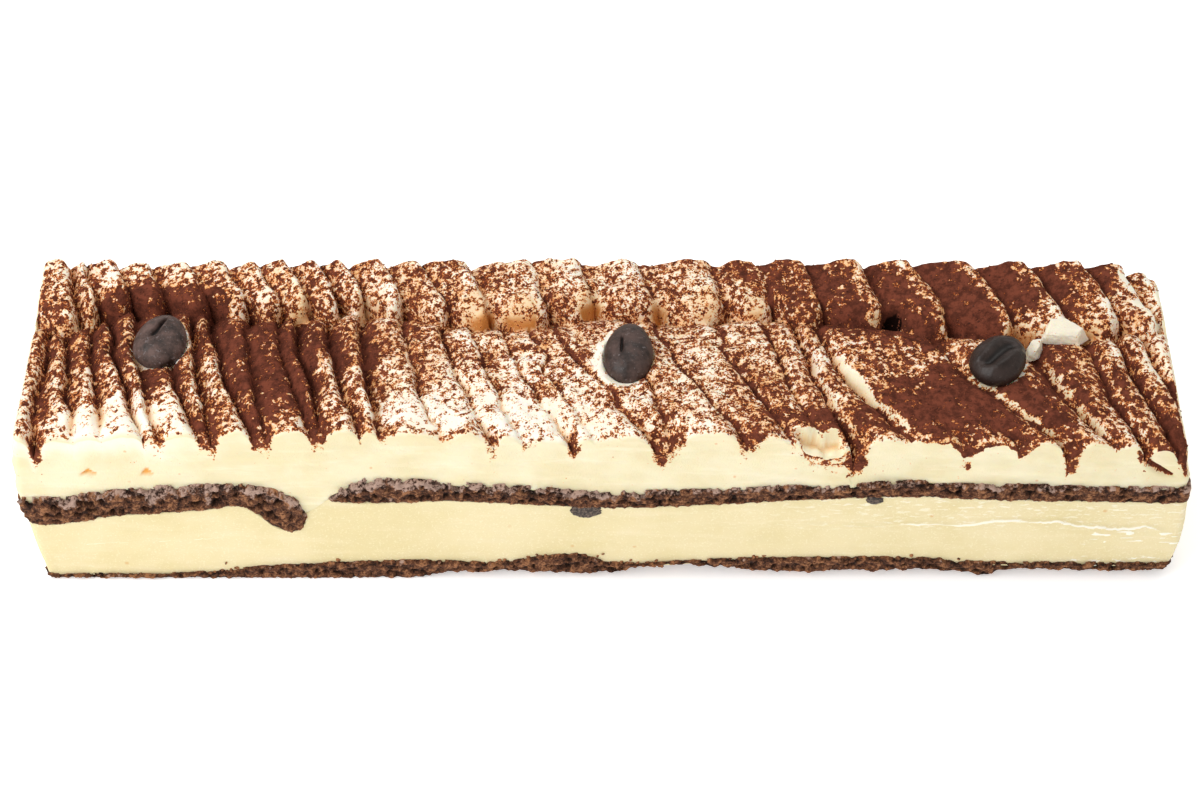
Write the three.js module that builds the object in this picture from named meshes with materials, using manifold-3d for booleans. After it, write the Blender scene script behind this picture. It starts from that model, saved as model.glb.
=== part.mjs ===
// A long tiramisu mousse cake, trimmed with a knife to a clean block. From the bottom: a thin
// chocolate sponge, a thick pale mousse, a chocolate sponge laid in two sheets with a gap between
// them, and a top cream worked with a palette knife into two rows of slanting strokes. Three
// chocolate coffee beans are pressed into the cream, and two small chocolate drops show at the cut.
// Millimetres. X runs along the cake, Y from the front cut face to the back, Z up from the base.
import * as THREE from 'three';
import { mergeVertices } from 'three/addons/utils/BufferGeometryUtils.js';
import Module from 'manifold-3d';

// The trimmed block.
const LENGTH = 355.5;
const DEPTH = 77;
const CORNER_RADIUS = 2.5;
// Both ends bulge a little and draw in towards the base, as [z, x] knots.
const LEFT_END = [[0, -173], [10, -174.6], [20, -175.7], [30, -176.7], [38, -LENGTH / 2], [48, -177.4],
  [60, -176], [72, -174]];
const RIGHT_END = [[0, 173.5], [10, 176.8], [20, LENGTH / 2], [30, 177.6], [38, 177], [48, 175.8],
  [60, 173.5], [72, 171]];
const TRIM_LEVELS = [-2, 0, 10, 20, 30, 38, 48, 60, 72];
const LAYER_GAP = 0.3; // clear space between neighbouring pieces
const FRONT = -DEPTH / 2;
const LAYER_SHEAR = 10; // how far the layers' pattern shifts along X from front to back
const COLUMN_STEP = 10; // spacing of the layers' columns along X

// Heights of the layers at the front face, as [x, z] knots.
const BASE_TOP = [[-176, 2.1], [-130, 2.5], [-104, 6], [-58, 9], [-34, 8], [-9, 12.2], [4, 7.6],
  [45, 10], [98, 10.1], [116, 8.2], [176, 7.6]];
const LEFT_LOWER = [[-176, 25.2], [-168, 24.8], [-148, 28.6], [-121, 31.4], [-111, 33.4], [-105.5, 29.6],
  [-100.5, 23.6], [-96, 21.8], [-91, 21]];
const LEFT_UPPER = [[-176, 37.6], [-160, 39], [-143, 42.4], [-119, 43.9], [-107, 43.2], [-98, 41],
  [-91, 37.5]];
const RIGHT_LOWER = [[-83, 35.4], [-70, 34.5], [-46, 35.6], [4, 32.5], [60, 36], [92, 37.5], [122, 36],
  [176, 34.6]];
const RIGHT_UPPER = [[-83, 38.6], [-74, 45.8], [-58, 46.3], [-20, 42.8], [0, 40.6], [30, 42.4], [70, 43.6],
  [96, 45.5], [115, 43.8], [176, 43]];
const LEFT_SHEET_END = -91;
const RIGHT_SHEET_START = -83;
const SHEET_END_RADIUS = 4;

// The crumbled lower edge: height to which the base sponge is worn away at the front and the back.
const FRONT_WORN = [[-176, 0.3], [-60, 0.5], [-42, 3.2], [2, 2.6], [13, 5.9], [38, 5.5], [49, 3.4],
  [110, 3.7], [117, 1.4], [124, 3.8], [176, 3.6]];
const BACK_WORN = [[-176, 3], [-120, 1.2], [-60, 3.6], [0, 0.8], [70, 4], [130, 1], [176, 2.6]];
const WORN_COLUMNS = 52;

// Palette-knife strokes. A front groove is [x at the front face, x at its head, depth of its notch];
// a back groove is named by its X at the back face.
const CREAM_CORE_TOP = 48.5;
const STROKE_FLOOR = 47.5;
const FRONT_REACH = FRONT - 1;
// Y of the rounded front ends of the back strokes along X; the front strokes begin under them.
const LOBE_LINE = [[-176, 12], [-160, 13], [-148, 18.5], [-122, 18.5], [-105, 16.5], [-86, 16.5], [-72, 20],
  [-45, 12.5], [-25, 12.5], [0, 15.5], [31, 14.5], [50, 16.5], [70, 13], [88, 11.5], [105, 9], [128, 6.5],
  [145, 6.5], [160, 9], [176, 10.5]];
const FRONT_HEAD = 5.5; // how far under them
const FRONT_GROOVES = [
  [-182, -184, 4], [-170, -171, 9], [-157, -167, 2], [-149, -159.5, 2], [-136, -154, 4], [-132, -146.5, 5],
  [-119.5, -138, 4], [-116.5, -128, 6], [-103.5, -123, 6], [-100, -111, 5], [-86, -102, 5], [-82.5, -96.5, 4],
  [-72, -86.5, 4], [-66.5, -76.5, 4], [-47.5, -62.5, 3], [-32, -50.5, 5], [-24, -40.5, 2], [-8.5, -32, 6],
  [-2, -23.5, 1.5], [16.5, -16, 7.5], [20, 9, 6.5], [43, 14.5, 6], [57, 33.5, 3], [66, 48.5, 1],
  [75, 58.5, 13.5], [93, 64, 1], [108, 79, 4], [125, 91, 4], [140, 99, 12], [153, 130, 2], [162, 149, 7],
  [172, 157.5, 6], [181, 166, 5], [191, 175, 5], [201, 185, 5],
];
const FRONT_CREST = [[-176, 64], [-130, 66], [-96, 67.2], [-58, 66.7], [-38, 64.8], [-4, 63.7], [34, 66],
  [52, 64.3], [96, 62.8], [150, 61.6], [176, 59]];
const HEAD_HEIGHT = 59.4;
const HEAD_DROP = 4.4;
const GROOVE_DEPTH = 4;
const EDGE_ONLY = [108, 125]; // notches in the front edge with no groove behind them
const BROKEN_FROM = 57;
const BROKEN_TO = 73;
const BROKEN_DROP = 6;
const BACK_REACH = DEPTH / 2 + 1;
const BACK_GROOVES = [-192, -181, -169, -163, -153, -142, -130, -119, -109, -100, -90, -81, -70, -57, -43,
  -24, -9, 11, 33, 48, 62, 80, 97, 115, 133, 151, 164, 172, 182];
const BACK_SLANT = [[-192, 6], [-120, 13], [-60, 12], [0, 9], [50, 8], [130, 13], [182, 6]];
const BACK_CREST = 63.4;
const BACK_DEPTH = 3.8;
const SLANT_END = 11.5; // Y where a back groove has shifted by its whole slant
const LOBE_CURVE = 6; // how much further back the ends lie at the grooves
const LOBE_HEIGHT = 6.5;
const ACROSS = [0, 0.17, 0.5, 0.66, 0.86];
const FRONT_ALONG = [1, 0.96, 0.9, 0.8, 0.65, 0.5, 0.34, 0.2, 0.09, 0];
const BACK_ALONG = [1, 0.94, 0.85, 0.72, 0.55, 0.3, 0];
const SHELF_PROFILE = [[0, 0], [0.17, 0.48], [0.5, 0.62], [0.66, 1], [0.86, 0.8], [1, 0]];
const ARCH_PROFILE = [[0, 0], [0.17, 0.58], [0.5, 0.95], [0.66, 1], [0.86, 0.72], [1, 0]];
const LEVEL_JITTER = 0.7;
const LOBE_JITTER = 2.2;

// Chocolate coffee beans: centre, turn about Z from X, pitch of the far end, and size. A slit is
// [x, y, length, width] on the bean.
const BEANS = [
  {
    name: 'coffee_bean_left', at: [-135.4, 2.2, 62.8], turn: 78, pitch: 4,
    size: [20.5, 16, 11], slit: [-1, 1.2, 9, 1.8],
  },
  {
    name: 'coffee_bean_middle', at: [7.5, -3, 62.8], turn: 85, pitch: 8,
    size: [22.5, 15, 11], slit: [-2.6, 1.8, 10, 1.2],
  },
  {
    name: 'coffee_bean_right', at: [120, -5.2, 62.4], turn: 55, pitch: 4,
    size: [20, 16.4, 10.5], slit: [-0.5, -0.6, 11, 2.4],
  },
];
const BEAN_SIDES = 16;
const BEAN_RINGS = 10;
const SLIT_DEPTH = 2;

// Chocolate drops at the front face, just under the middle sponge: centre X and Z, and size.
const DROPS = [
  { name: 'chocolate_drop_left', at: [-5.5, 31.2], size: [10, 6, 6.4] },
  { name: 'chocolate_drop_right', at: [82, 35.2], size: [7, 4.4, 5.2] },
];

// Small pockets in the cut face of the cream: centre X and Z, width and height.
const POCKETS = [[-154.5, 49, 5.6, 2.8], [-137, 49.2, 5.2, 3], [109, 51, 1.8, 3.2]];
const POCKET_DEPTH = 1.6;

// A curved tear low in the right of the cut cream: two ends and the bend between them, as [x, z].
const TEAR = { from: [163.4, 55.5], bend: [164.2, 48.4], to: [172.6, 47], width: 2.8, depth: 2.5 };

const SEED = 4.1;
const wasm = await Module();
wasm.setup();

function lerp(a, b, t) {
  return a + (b - a) * t;
}

function smoothstep(low, high, x) {
  const t = Math.min(Math.max((x - low) / (high - low), 0), 1);
  return t * t * (3 - 2 * t);
}

// A fixed random-looking value from -1 to 1 for item i and use k.
function jitter(i, k) {
  const s = Math.sin(12.9898 * i + 78.233 * k + SEED) * 43758.5453;
  return 2 * (s - Math.floor(s)) - 1;
}

// Height of a smooth line through its knots, level beyond both ends.
function lineAt(knots, x) {
  const last = knots.length - 1;
  if (x <= knots[0][0]) return knots[0][1];
  if (x >= knots[last][0]) return knots[last][1];
  let i = 0;
  while (knots[i + 1][0] < x) i += 1;
  const slope = (a, b) => (knots[b][1] - knots[a][1]) / (knots[b][0] - knots[a][0]);
  const width = knots[i + 1][0] - knots[i][0];
  const t = (x - knots[i][0]) / width;
  const m0 = slope(Math.max(i - 1, 0), i + 1) * width;
  const m1 = slope(i, Math.min(i + 2, last)) * width;
  const h00 = (1 + 2 * t) * (1 - t) ** 2;
  const h10 = t * (1 - t) ** 2;
  const h01 = t * t * (3 - 2 * t);
  const h11 = t * t * (t - 1);
  return h00 * knots[i][1] + h10 * m0 + h01 * knots[i + 1][1] + h11 * m1;
}

function toSolid(geometry) {
  const bare = geometry.clone();
  bare.deleteAttribute('normal');
  bare.deleteAttribute('uv');
  const merged = mergeVertices(bare, 1e-4);
  return new wasm.Manifold(new wasm.Mesh({
    numProp: 3,
    vertProperties: new Float32Array(merged.attributes.position.array),
    triVerts: new Uint32Array(merged.index.array),
  }));
}

function toMesh(solid, name, material) {
  const data = solid.getMesh();
  const geometry = new THREE.BufferGeometry();
  geometry.setAttribute('position', new THREE.BufferAttribute(new Float32Array(data.vertProperties), 3));
  geometry.setIndex(new THREE.BufferAttribute(new Uint32Array(data.triVerts), 1));
  geometry.computeVertexNormals();
  const mesh = new THREE.Mesh(geometry, material);
  mesh.name = name;
  return mesh;
}

// A closed box of nx by ny cells whose upper and lower grid points are moved by place(i, j, upper).
function warpedBox(nx, ny, place) {
  const geometry = new THREE.BoxGeometry(1, 1, 1, nx, ny, 1);
  const position = geometry.attributes.position;
  for (let k = 0; k < position.count; k += 1) {
    const i = Math.round((position.getX(k) + 0.5) * nx);
    const j = Math.round((position.getY(k) + 0.5) * ny);
    const [x, y, z] = place(i, j, position.getZ(k) > 0);
    position.setXYZ(k, x, y, z);
  }
  return toSolid(geometry);
}

// The block left by the knife: a rounded rectangle whose two ends follow their knots.
function trimBlock() {
  const halfX = LENGTH / 2;
  const halfY = DEPTH / 2;
  const r = CORNER_RADIUS;
  const outline = new THREE.Shape();
  outline.absarc(halfX - r, halfY - r, r, 0, Math.PI / 2);
  outline.absarc(-halfX + r, halfY - r, r, Math.PI / 2, Math.PI);
  outline.absarc(-halfX + r, -halfY + r, r, Math.PI, Math.PI * 1.5);
  outline.absarc(halfX - r, -halfY + r, r, Math.PI * 1.5, Math.PI * 2);
  const steps = TRIM_LEVELS.length - 1;
  const options = { depth: steps, steps, bevelEnabled: false, curveSegments: 4 };
  const geometry = new THREE.ExtrudeGeometry(outline, options);
  const position = geometry.attributes.position;
  for (let k = 0; k < position.count; k += 1) {
    const z = TRIM_LEVELS[Math.round(position.getZ(k))];
    const along = (position.getX(k) + halfX) / LENGTH;
    position.setXYZ(k, lerp(lineAt(LEFT_END, z), lineAt(RIGHT_END, z), along), position.getY(k), z);
  }
  return toSolid(geometry);
}

// The middle sponge along X: the height of its mid-surface and half its thickness.
function spongeAt(x) {
  const leftMid = (lineAt(LEFT_LOWER, x) + lineAt(LEFT_UPPER, x)) / 2;
  const rightMid = (lineAt(RIGHT_LOWER, x) + lineAt(RIGHT_UPPER, x)) / 2;
  const inside = Math.max(LEFT_SHEET_END - x, x - RIGHT_SHEET_START) / SHEET_END_RADIUS;
  const rounding = Math.sqrt(1 - (1 - Math.min(Math.max(inside, 0), 1)) ** 2);
  if (x < LEFT_SHEET_END) {
    return { mid: leftMid, half: rounding * (lineAt(LEFT_UPPER, x) - leftMid) };
  }
  if (x > RIGHT_SHEET_START) {
    return { mid: rightMid, half: rounding * (lineAt(RIGHT_UPPER, x) - rightMid) };
  }
  const t = (x - LEFT_SHEET_END) / (RIGHT_SHEET_START - LEFT_SHEET_END);
  return { mid: lerp(leftMid, rightMid, t), half: 0 };
}

// Columns shared by all layers, closer together round the two sheet ends.
function layerColumns() {
  const columns = [];
  for (let x = -LENGTH / 2 - 6; x <= LENGTH / 2 + LAYER_SHEAR + 8; x += COLUMN_STEP) {
    const nearEnd = x > LEFT_SHEET_END - 24 && x < RIGHT_SHEET_START + 12;
    if (!nearEnd) columns.push(x);
  }
  for (const inset of [0.2, 1, 2.6, 5, 8]) {
    columns.push(LEFT_SHEET_END - inset);
    columns.push(RIGHT_SHEET_START + inset);
  }
  for (const inset of [11, 14, 17, 21]) {
    columns.push(LEFT_SHEET_END - inset);
  }
  columns.push((LEFT_SHEET_END + RIGHT_SHEET_START) / 2);
  return columns.sort((a, b) => a - b);
}

// A layer on the shared columns between two height functions of X, sheared along X towards the back.
function layer(columns, lower, upper) {
  const rows = [FRONT - 3, 0, -FRONT + 3];
  return warpedBox(columns.length - 1, rows.length - 1, (i, j, isUpper) => {
    const back = (rows[j] - FRONT) / DEPTH;
    const wave = 0.6 * back * Math.sin(columns[i] / 21);
    const z = isUpper ? upper(columns[i], wave) : lower(columns[i], wave);
    return [columns[i] - LAYER_SHEAR * back, rows[j], z];
  });
}

// The wedge worn away under the front (side -1) or back (side 1) lower edge.
function wornEdge(side, knots) {
  return warpedBox(WORN_COLUMNS, 1, (i, j, isUpper) => {
    const x = lerp(-LENGTH / 2 - 6, LENGTH / 2 + 6, i / WORN_COLUMNS);
    const worn = lineAt(knots, x) * (1 + 0.25 * jitter(i, 5 + side));
    const outer = (j === 1) === (side > 0);
    const reach = outer ? 2 : -worn - (isUpper ? 1.8 : 2);
    const z = isUpper ? worn + reach : -2;
    return [x, side * (DEPTH / 2 + reach), z];
  });
}

function strokeProfile(u, archShare) {
  return lerp(lineAt(SHELF_PROFILE, u), lineAt(ARCH_PROFILE, u), archShare);
}

// Depth of front groove g below the crest, v running from the head (0) to the front edge (1).
function frontGrooveDepth(g, v) {
  const [x, , notch] = FRONT_GROOVES[g];
  const middle = EDGE_ONLY.includes(x) ? 0 : GROOVE_DEPTH * (1 + 0.3 * jitter(g, 2));
  return lerp(middle, notch, smoothstep(0.78, 1, v));
}

function frontGrooveX(g, v) {
  const [edge, head] = FRONT_GROOVES[g];
  return lerp(head, edge, v ** 1.5);
}

function frontHeight(stroke, u, v) {
  const edgeX = lerp(FRONT_GROOVES[stroke][0], FRONT_GROOVES[stroke + 1][0], u);
  const crest = lerp(HEAD_HEIGHT, lineAt(FRONT_CREST, edgeX), smoothstep(-0.1, 1, v));
  const head = HEAD_DROP * Math.max(1 - v / 0.16, 0) ** 2;
  const afterBreak = smoothstep(BROKEN_FROM - 2, BROKEN_FROM + 2, edgeX);
  const beforeEnd = smoothstep(BROKEN_TO + 1, BROKEN_TO - 2, edgeX);
  const broken = BROKEN_DROP * afterBreak * beforeEnd * smoothstep(0.86, 0.95, v);
  const depth = lerp(frontGrooveDepth(stroke, v), frontGrooveDepth(stroke + 1, v), u);
  const profile = strokeProfile(u, smoothstep(0.6, 1, v));
  return crest + LEVEL_JITTER * jitter(stroke, 1) - head - broken - depth * (1 - profile);
}

function frontStrokes() {
  const strokes = FRONT_GROOVES.length - 1;
  const nx = strokes * ACROSS.length;
  return warpedBox(nx, FRONT_ALONG.length - 1, (i, j, isUpper) => {
    const stroke = Math.min(Math.floor(i / ACROSS.length), strokes - 1);
    const u = i === nx ? 1 : ACROSS[i % ACROSS.length];
    const v = FRONT_ALONG[j];
    const x = lerp(frontGrooveX(stroke, v), frontGrooveX(stroke + 1, v), u);
    const y = lerp(lineAt(LOBE_LINE, x) + FRONT_HEAD, FRONT_REACH, v);
    return [x, y, isUpper ? frontHeight(stroke, u, v) : STROKE_FLOOR];
  });
}

function backStrokes() {
  const strokes = BACK_GROOVES.length - 1;
  const nx = strokes * ACROSS.length;
  return warpedBox(nx, BACK_ALONG.length - 1, (i, j, isUpper) => {
    const stroke = Math.min(Math.floor(i / ACROSS.length), strokes - 1);
    const u = i === nx ? 1 : ACROSS[i % ACROSS.length];
    const w = BACK_ALONG[j];
    const edgeX = lerp(BACK_GROOVES[stroke], BACK_GROOVES[stroke + 1], u);
    const slant = lineAt(BACK_SLANT, edgeX);
    const atGroove = (2 * u - 1) ** 2;
    const uneven = lerp(LOBE_JITTER * jitter(stroke, 4), LOBE_CURVE, atGroove);
    const y = lerp(BACK_REACH, lineAt(LOBE_LINE, edgeX + slant) + uneven, w);
    const depth = BACK_DEPTH * (1 + 0.25 * lerp(jitter(stroke, 6), jitter(stroke + 1, 6), u));
    const q = Math.max((w - 0.7) / 0.3, 0);
    const lobe = LOBE_HEIGHT * (1 - Math.sqrt(Math.max(1 - q * q, 0)));
    const crest = BACK_CREST + LEVEL_JITTER * jitter(stroke, 7);
    const top = crest - lobe - depth * (1 - strokeProfile(u, 0.35));
    const shift = slant * (BACK_REACH - y) / (BACK_REACH - SLANT_END);
    return [edgeX + shift, y, isUpper ? top : STROKE_FLOOR];
  });
}

// An egg-shaped bean along its own X, grown outwards by grow, in place in the cake.
function beanGeometry(bean, grow) {
  const geometry = new THREE.SphereGeometry(1, BEAN_SIDES, BEAN_RINGS);
  geometry.rotateZ(Math.PI / 2);
  const position = geometry.attributes.position;
  for (let k = 0; k < position.count; k += 1) {
    const x = position.getX(k);
    const widen = 1 - 0.07 * x;
    const flat = position.getZ(k) > 0 ? 1 : 0.86;
    position.setXYZ(
      k,
      x * (bean.size[0] / 2 + grow),
      position.getY(k) * widen * (bean.size[1] / 2 + grow),
      position.getZ(k) * widen * (flat * bean.size[2] / 2 + grow),
    );
  }
  return placeBean(geometry, bean);
}

// The bent slit pressed along a bean's upper side.
function slitGeometry(bean) {
  const [x, y, length, width] = bean.slit;
  const half = length / 2;
  const outline = new THREE.Shape();
  outline.moveTo(-half, -0.4);
  outline.quadraticCurveTo(0, -width, half, 0.4);
  outline.quadraticCurveTo(0, width, -half, -0.4);
  const geometry = new THREE.ExtrudeGeometry(outline, { depth: 8, bevelEnabled: false, curveSegments: 5 });
  geometry.translate(x, y, bean.size[2] / 2 - SLIT_DEPTH);
  return placeBean(geometry, bean);
}

function placeBean(geometry, bean) {
  geometry.rotateY(-THREE.MathUtils.degToRad(bean.pitch));
  geometry.rotateZ(THREE.MathUtils.degToRad(bean.turn));
  geometry.translate(...bean.at);
  return geometry;
}

// A wrinkled drop, cut flush with the front face by the trimming knife.
function dropGeometry(drop, grow) {
  const geometry = new THREE.SphereGeometry(1, 12, 8);
  const position = geometry.attributes.position;
  for (let k = 0; k < position.count; k += 1) {
    const [x, y, z] = [position.getX(k), position.getY(k), position.getZ(k)];
    const wrinkle = 1 + 0.07 * Math.sin(5 * x + 3 * z) * Math.cos(4 * y - 2 * z);
    position.setXYZ(
      k,
      x * (wrinkle * drop.size[0] / 2 + grow),
      y * (wrinkle * drop.size[1] / 2 + grow),
      z * (wrinkle * drop.size[2] / 2 + grow),
    );
  }
  geometry.translate(drop.at[0], FRONT + 0.8, drop.at[1]);
  return geometry;
}

function pocketGeometry(pocket) {
  const [x, z, width, height] = pocket;
  const geometry = new THREE.ConeGeometry(0.6, 2 * POCKET_DEPTH, 3);
  geometry.scale(width, 1, height);
  geometry.translate(x, FRONT, z);
  return geometry;
}

function tearGeometry() {
  const { from, bend, to, width, depth } = TEAR;
  const outline = new THREE.Shape();
  outline.moveTo(...from);
  outline.quadraticCurveTo(...bend, ...to);
  outline.quadraticCurveTo(bend[0] + width, bend[1] + width, ...from);
  const options = { depth: 2 * depth, bevelEnabled: false, curveSegments: 5 };
  const geometry = new THREE.ExtrudeGeometry(outline, options);
  geometry.rotateX(Math.PI / 2);
  geometry.translate(0, FRONT + depth, 0);
  return geometry;
}

const block = trimBlock();
const columns = layerColumns();
const gap = LAYER_GAP / 2;
const baseTop = (x, wave) => lineAt(BASE_TOP, x) + 0.4 * wave;
const spongeUnder = (x, wave) => spongeAt(x).mid - spongeAt(x).half + wave;
const spongeOver = (x, wave) => spongeAt(x).mid + spongeAt(x).half + wave;

let baseSponge = layer(columns, () => 0, (x, wave) => baseTop(x, wave) - gap).intersect(block);
baseSponge = baseSponge.subtract(wornEdge(-1, FRONT_WORN)).subtract(wornEdge(1, BACK_WORN));

let mousse = layer(columns, (x, wave) => baseTop(x, wave) + gap, (x, wave) => spongeUnder(x, wave) - gap);
mousse = mousse.intersect(block);

const sheetColumns = columns.filter((x) => spongeAt(x).half > 0.6);
const sheet = (list) => layer(
  list,
  (x, wave) => spongeUnder(x, wave) + gap,
  (x, wave) => spongeOver(x, wave) - gap,
).intersect(block);
let leftSheet = sheet(sheetColumns.filter((x) => x < LEFT_SHEET_END));
let rightSheet = sheet(sheetColumns.filter((x) => x > RIGHT_SHEET_START));

let cream = layer(columns, (x, wave) => spongeOver(x, wave) + gap, () => CREAM_CORE_TOP);
cream = cream.add(frontStrokes()).add(backStrokes()).intersect(block);
for (const bean of BEANS) {
  cream = cream.subtract(toSolid(beanGeometry(bean, LAYER_GAP)));
}
for (const pocket of POCKETS) {
  cream = cream.subtract(toSolid(pocketGeometry(pocket)));
}
cream = cream.subtract(toSolid(tearGeometry()));
for (const drop of DROPS) {
  const seat = toSolid(dropGeometry(drop, LAYER_GAP));
  mousse = mousse.subtract(seat);
  rightSheet = rightSheet.subtract(seat);
}

const creamMaterial = new THREE.MeshStandardMaterial({ color: 0xf8eecb, roughness: 0.7, metalness: 0 });
const mousseMaterial = new THREE.MeshStandardMaterial({ color: 0xf2e4b8, roughness: 0.65, metalness: 0 });
const spongeMaterial = new THREE.MeshStandardMaterial({ color: 0x4b3327, roughness: 0.95, metalness: 0 });
const beanMaterial = new THREE.MeshStandardMaterial({ color: 0x3d3432, roughness: 0.45, metalness: 0 });
const dropMaterial = new THREE.MeshStandardMaterial({ color: 0x3a2f2e, roughness: 0.6, metalness: 0 });

const cake = new THREE.Group();
cake.add(toMesh(baseSponge, 'base_sponge', spongeMaterial));
cake.add(toMesh(mousse, 'lower_mousse', mousseMaterial));
cake.add(toMesh(leftSheet, 'middle_sponge_left', spongeMaterial));
cake.add(toMesh(rightSheet, 'middle_sponge_right', spongeMaterial));
cake.add(toMesh(cream, 'top_cream', creamMaterial));
for (const bean of BEANS) {
  const solid = toSolid(beanGeometry(bean, 0)).subtract(toSolid(slitGeometry(bean)));
  cake.add(toMesh(solid, bean.name, beanMaterial));
}
for (const drop of DROPS) {
  cake.add(toMesh(toSolid(dropGeometry(drop, 0)).intersect(block), drop.name, dropMaterial));
}

export default cake;
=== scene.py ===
import math

import bmesh
import bpy
import numpy as np
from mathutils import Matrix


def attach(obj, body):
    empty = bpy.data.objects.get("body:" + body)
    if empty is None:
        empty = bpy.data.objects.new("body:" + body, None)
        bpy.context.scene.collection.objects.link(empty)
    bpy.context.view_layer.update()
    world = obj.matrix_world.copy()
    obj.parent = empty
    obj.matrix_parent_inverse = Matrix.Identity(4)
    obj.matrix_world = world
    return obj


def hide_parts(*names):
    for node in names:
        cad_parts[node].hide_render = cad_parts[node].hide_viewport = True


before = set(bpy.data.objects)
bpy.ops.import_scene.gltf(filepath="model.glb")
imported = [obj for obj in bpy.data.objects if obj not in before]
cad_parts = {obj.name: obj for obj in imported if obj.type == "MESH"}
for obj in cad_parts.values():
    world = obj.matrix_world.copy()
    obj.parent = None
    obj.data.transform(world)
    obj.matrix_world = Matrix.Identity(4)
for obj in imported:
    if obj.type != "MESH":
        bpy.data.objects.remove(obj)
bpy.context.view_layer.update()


# Base sponge: a thin dark chocolate sponge, baked flat and laid under the mousse. It was cut
# with the cake, so its open crumb shows on all four sides, and its lower edge has crumbled.
MM = 0.001
BLOCK_LENGTH = 355.5
BLOCK_DEPTH = 77.0
CORNER_RADIUS = 2.5
# The knife's cut at both ends is height and x; the base's top and worn lower edges are x and height.
LEFT_END = [(0, -173), (10, -174.6), (20, -175.7), (30, -176.7), (38, -177.75), (48, -177.4), (60, -176), (72, -174)]
RIGHT_END = [(0, 173.5), (10, 176.8), (20, 177.75), (30, 177.6), (38, 177), (48, 175.8), (60, 173.5), (72, 171)]
# The layers run on slightly askew from front to back, and wander a little on the way.
LAYER_SHEAR, LAYER_WAVE, LAYER_WAVE_LENGTH = 10.0, 0.6, 21
BASE_TOP = [(-176, 2.1), (-130, 2.5), (-104, 6), (-58, 9), (-34, 8), (-9, 12.2), (4, 7.6), (45, 10), (98, 10.1),
            (116, 8.2), (176, 7.6)]
FRONT_WORN = [(-176, 0.3), (-60, 0.5), (-42, 3.2), (2, 2.6), (13, 5.9), (38, 5.5), (49, 3.4), (110, 3.7), (117, 1.4),
              (124, 3.8), (176, 3.6)]
BACK_WORN = [(-176, 3), (-120, 1.2), (-60, 3.6), (0, 0.8), (70, 4), (130, 1), (176, 2.6)]
BASE_COLUMNS, BASE_ROWS, BASE_RINGS = 640, 140, 17
BASE_LEAST = 1.2
# How far sponge stands out of the cut face, bulges in the middle of its thickness, and goes in
# where its upper edge is torn.
SPONGE_PROUD, BASE_BULGE, BASE_TORN = 0.45, 0.7, 2.4


def lerp(a, b, t):
    return a + (b - a) * t


def smoothstep(low, high, x):
    t = np.clip((x - low) / (high - low), 0, 1)
    return t * t * (3 - 2 * t)


def line_at(knots, x):
    """Height at x of the smooth line through the knots, level beyond both ends."""
    kx, kz = np.array(knots, float).T
    slope = np.gradient(kz, kx)
    slope[1:-1] = (kz[2:] - kz[:-2]) / (kx[2:] - kx[:-2])
    x = np.clip(x, kx[0], kx[-1])
    i = np.clip(np.searchsorted(kx, x, side="right") - 1, 0, len(kx) - 2)
    width = kx[i + 1] - kx[i]
    t = (x - kx[i]) / width
    start = (1 + 2 * t) * (1 - t) ** 2 * kz[i] + t * (1 - t) ** 2 * width * slope[i]
    return start + t * t * (3 - 2 * t) * kz[i + 1] + t * t * (t - 1) * width * slope[i + 1]


def patchy(x, y, seed):
    """Smooth random value from -1 to 1 that changes over a distance of about one unit."""
    xi, yi = np.floor(x), np.floor(y)
    fx, fy = smoothstep(0, 1, x - xi), smoothstep(0, 1, y - yi)

    def corner(a, b):
        s = np.sin((xi + a) * 127.1 + (yi + b) * 311.7 + seed * 74.7) * 43758.5453
        return s - np.floor(s)

    low = lerp(corner(0, 0), corner(1, 0), fx)
    high = lerp(corner(0, 1), corner(1, 1), fx)
    return 2 * lerp(low, high, fy) - 1


def mottle(x, y, size, seed):
    """Patchy value with patches of about the given size."""
    return patchy(x / size, y / size, seed)


def half_depth(x):
    """Half the block's depth at x, less where its upright edges are rounded."""
    over = np.clip(np.abs(x) - (BLOCK_LENGTH / 2 - CORNER_RADIUS), 0, CORNER_RADIUS)
    return BLOCK_DEPTH / 2 - CORNER_RADIUS + np.sqrt(CORNER_RADIUS ** 2 - over ** 2)


def trimmed(x, z):
    """X on the trimmed block: near both ends it follows the knife's slightly bulging cut."""
    left = (line_at(LEFT_END, z) + BLOCK_LENGTH / 2) * smoothstep(-150, -BLOCK_LENGTH / 2, x)
    right = (line_at(RIGHT_END, z) - BLOCK_LENGTH / 2) * smoothstep(150, BLOCK_LENGTH / 2, x)
    return x + left + right


def outline(left, right, columns, rows):
    """Loop round a layer from the middle of its left end, by the front. Each end is given as
    (x at the front, x at the back). Returns x, y and the outward direction of each point."""
    side = np.arange(columns) / columns
    half = np.arange(rows // 2) / (rows // 2)
    end = 2 * np.arange(rows) / rows - 1
    s = np.concatenate([0 * half, side, end * 0 + 1, 1 - side, 0 * half])
    t = np.concatenate([-half, side * 0 - 1, end, side * 0 + 1, 1 - half])
    back = (t + 1) / 2
    x = lerp(lerp(*left, back), lerp(*right, back), s)
    y = t * half_depth(x)
    dx = np.roll(x, -1) - np.roll(x, 1)
    dy = np.roll(y, -1) - np.roll(y, 1)
    span = np.hypot(dx, dy)
    return x, y, dy / span, -dx / span


def ring(loop, height, outward=0.0):
    """Points of an outline at a height, moved outwards."""
    x, y, nx, ny = loop
    height = height + 0 * x
    return np.stack([trimmed(x, height) + nx * outward, y + ny * outward, height], axis=-1)


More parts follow.
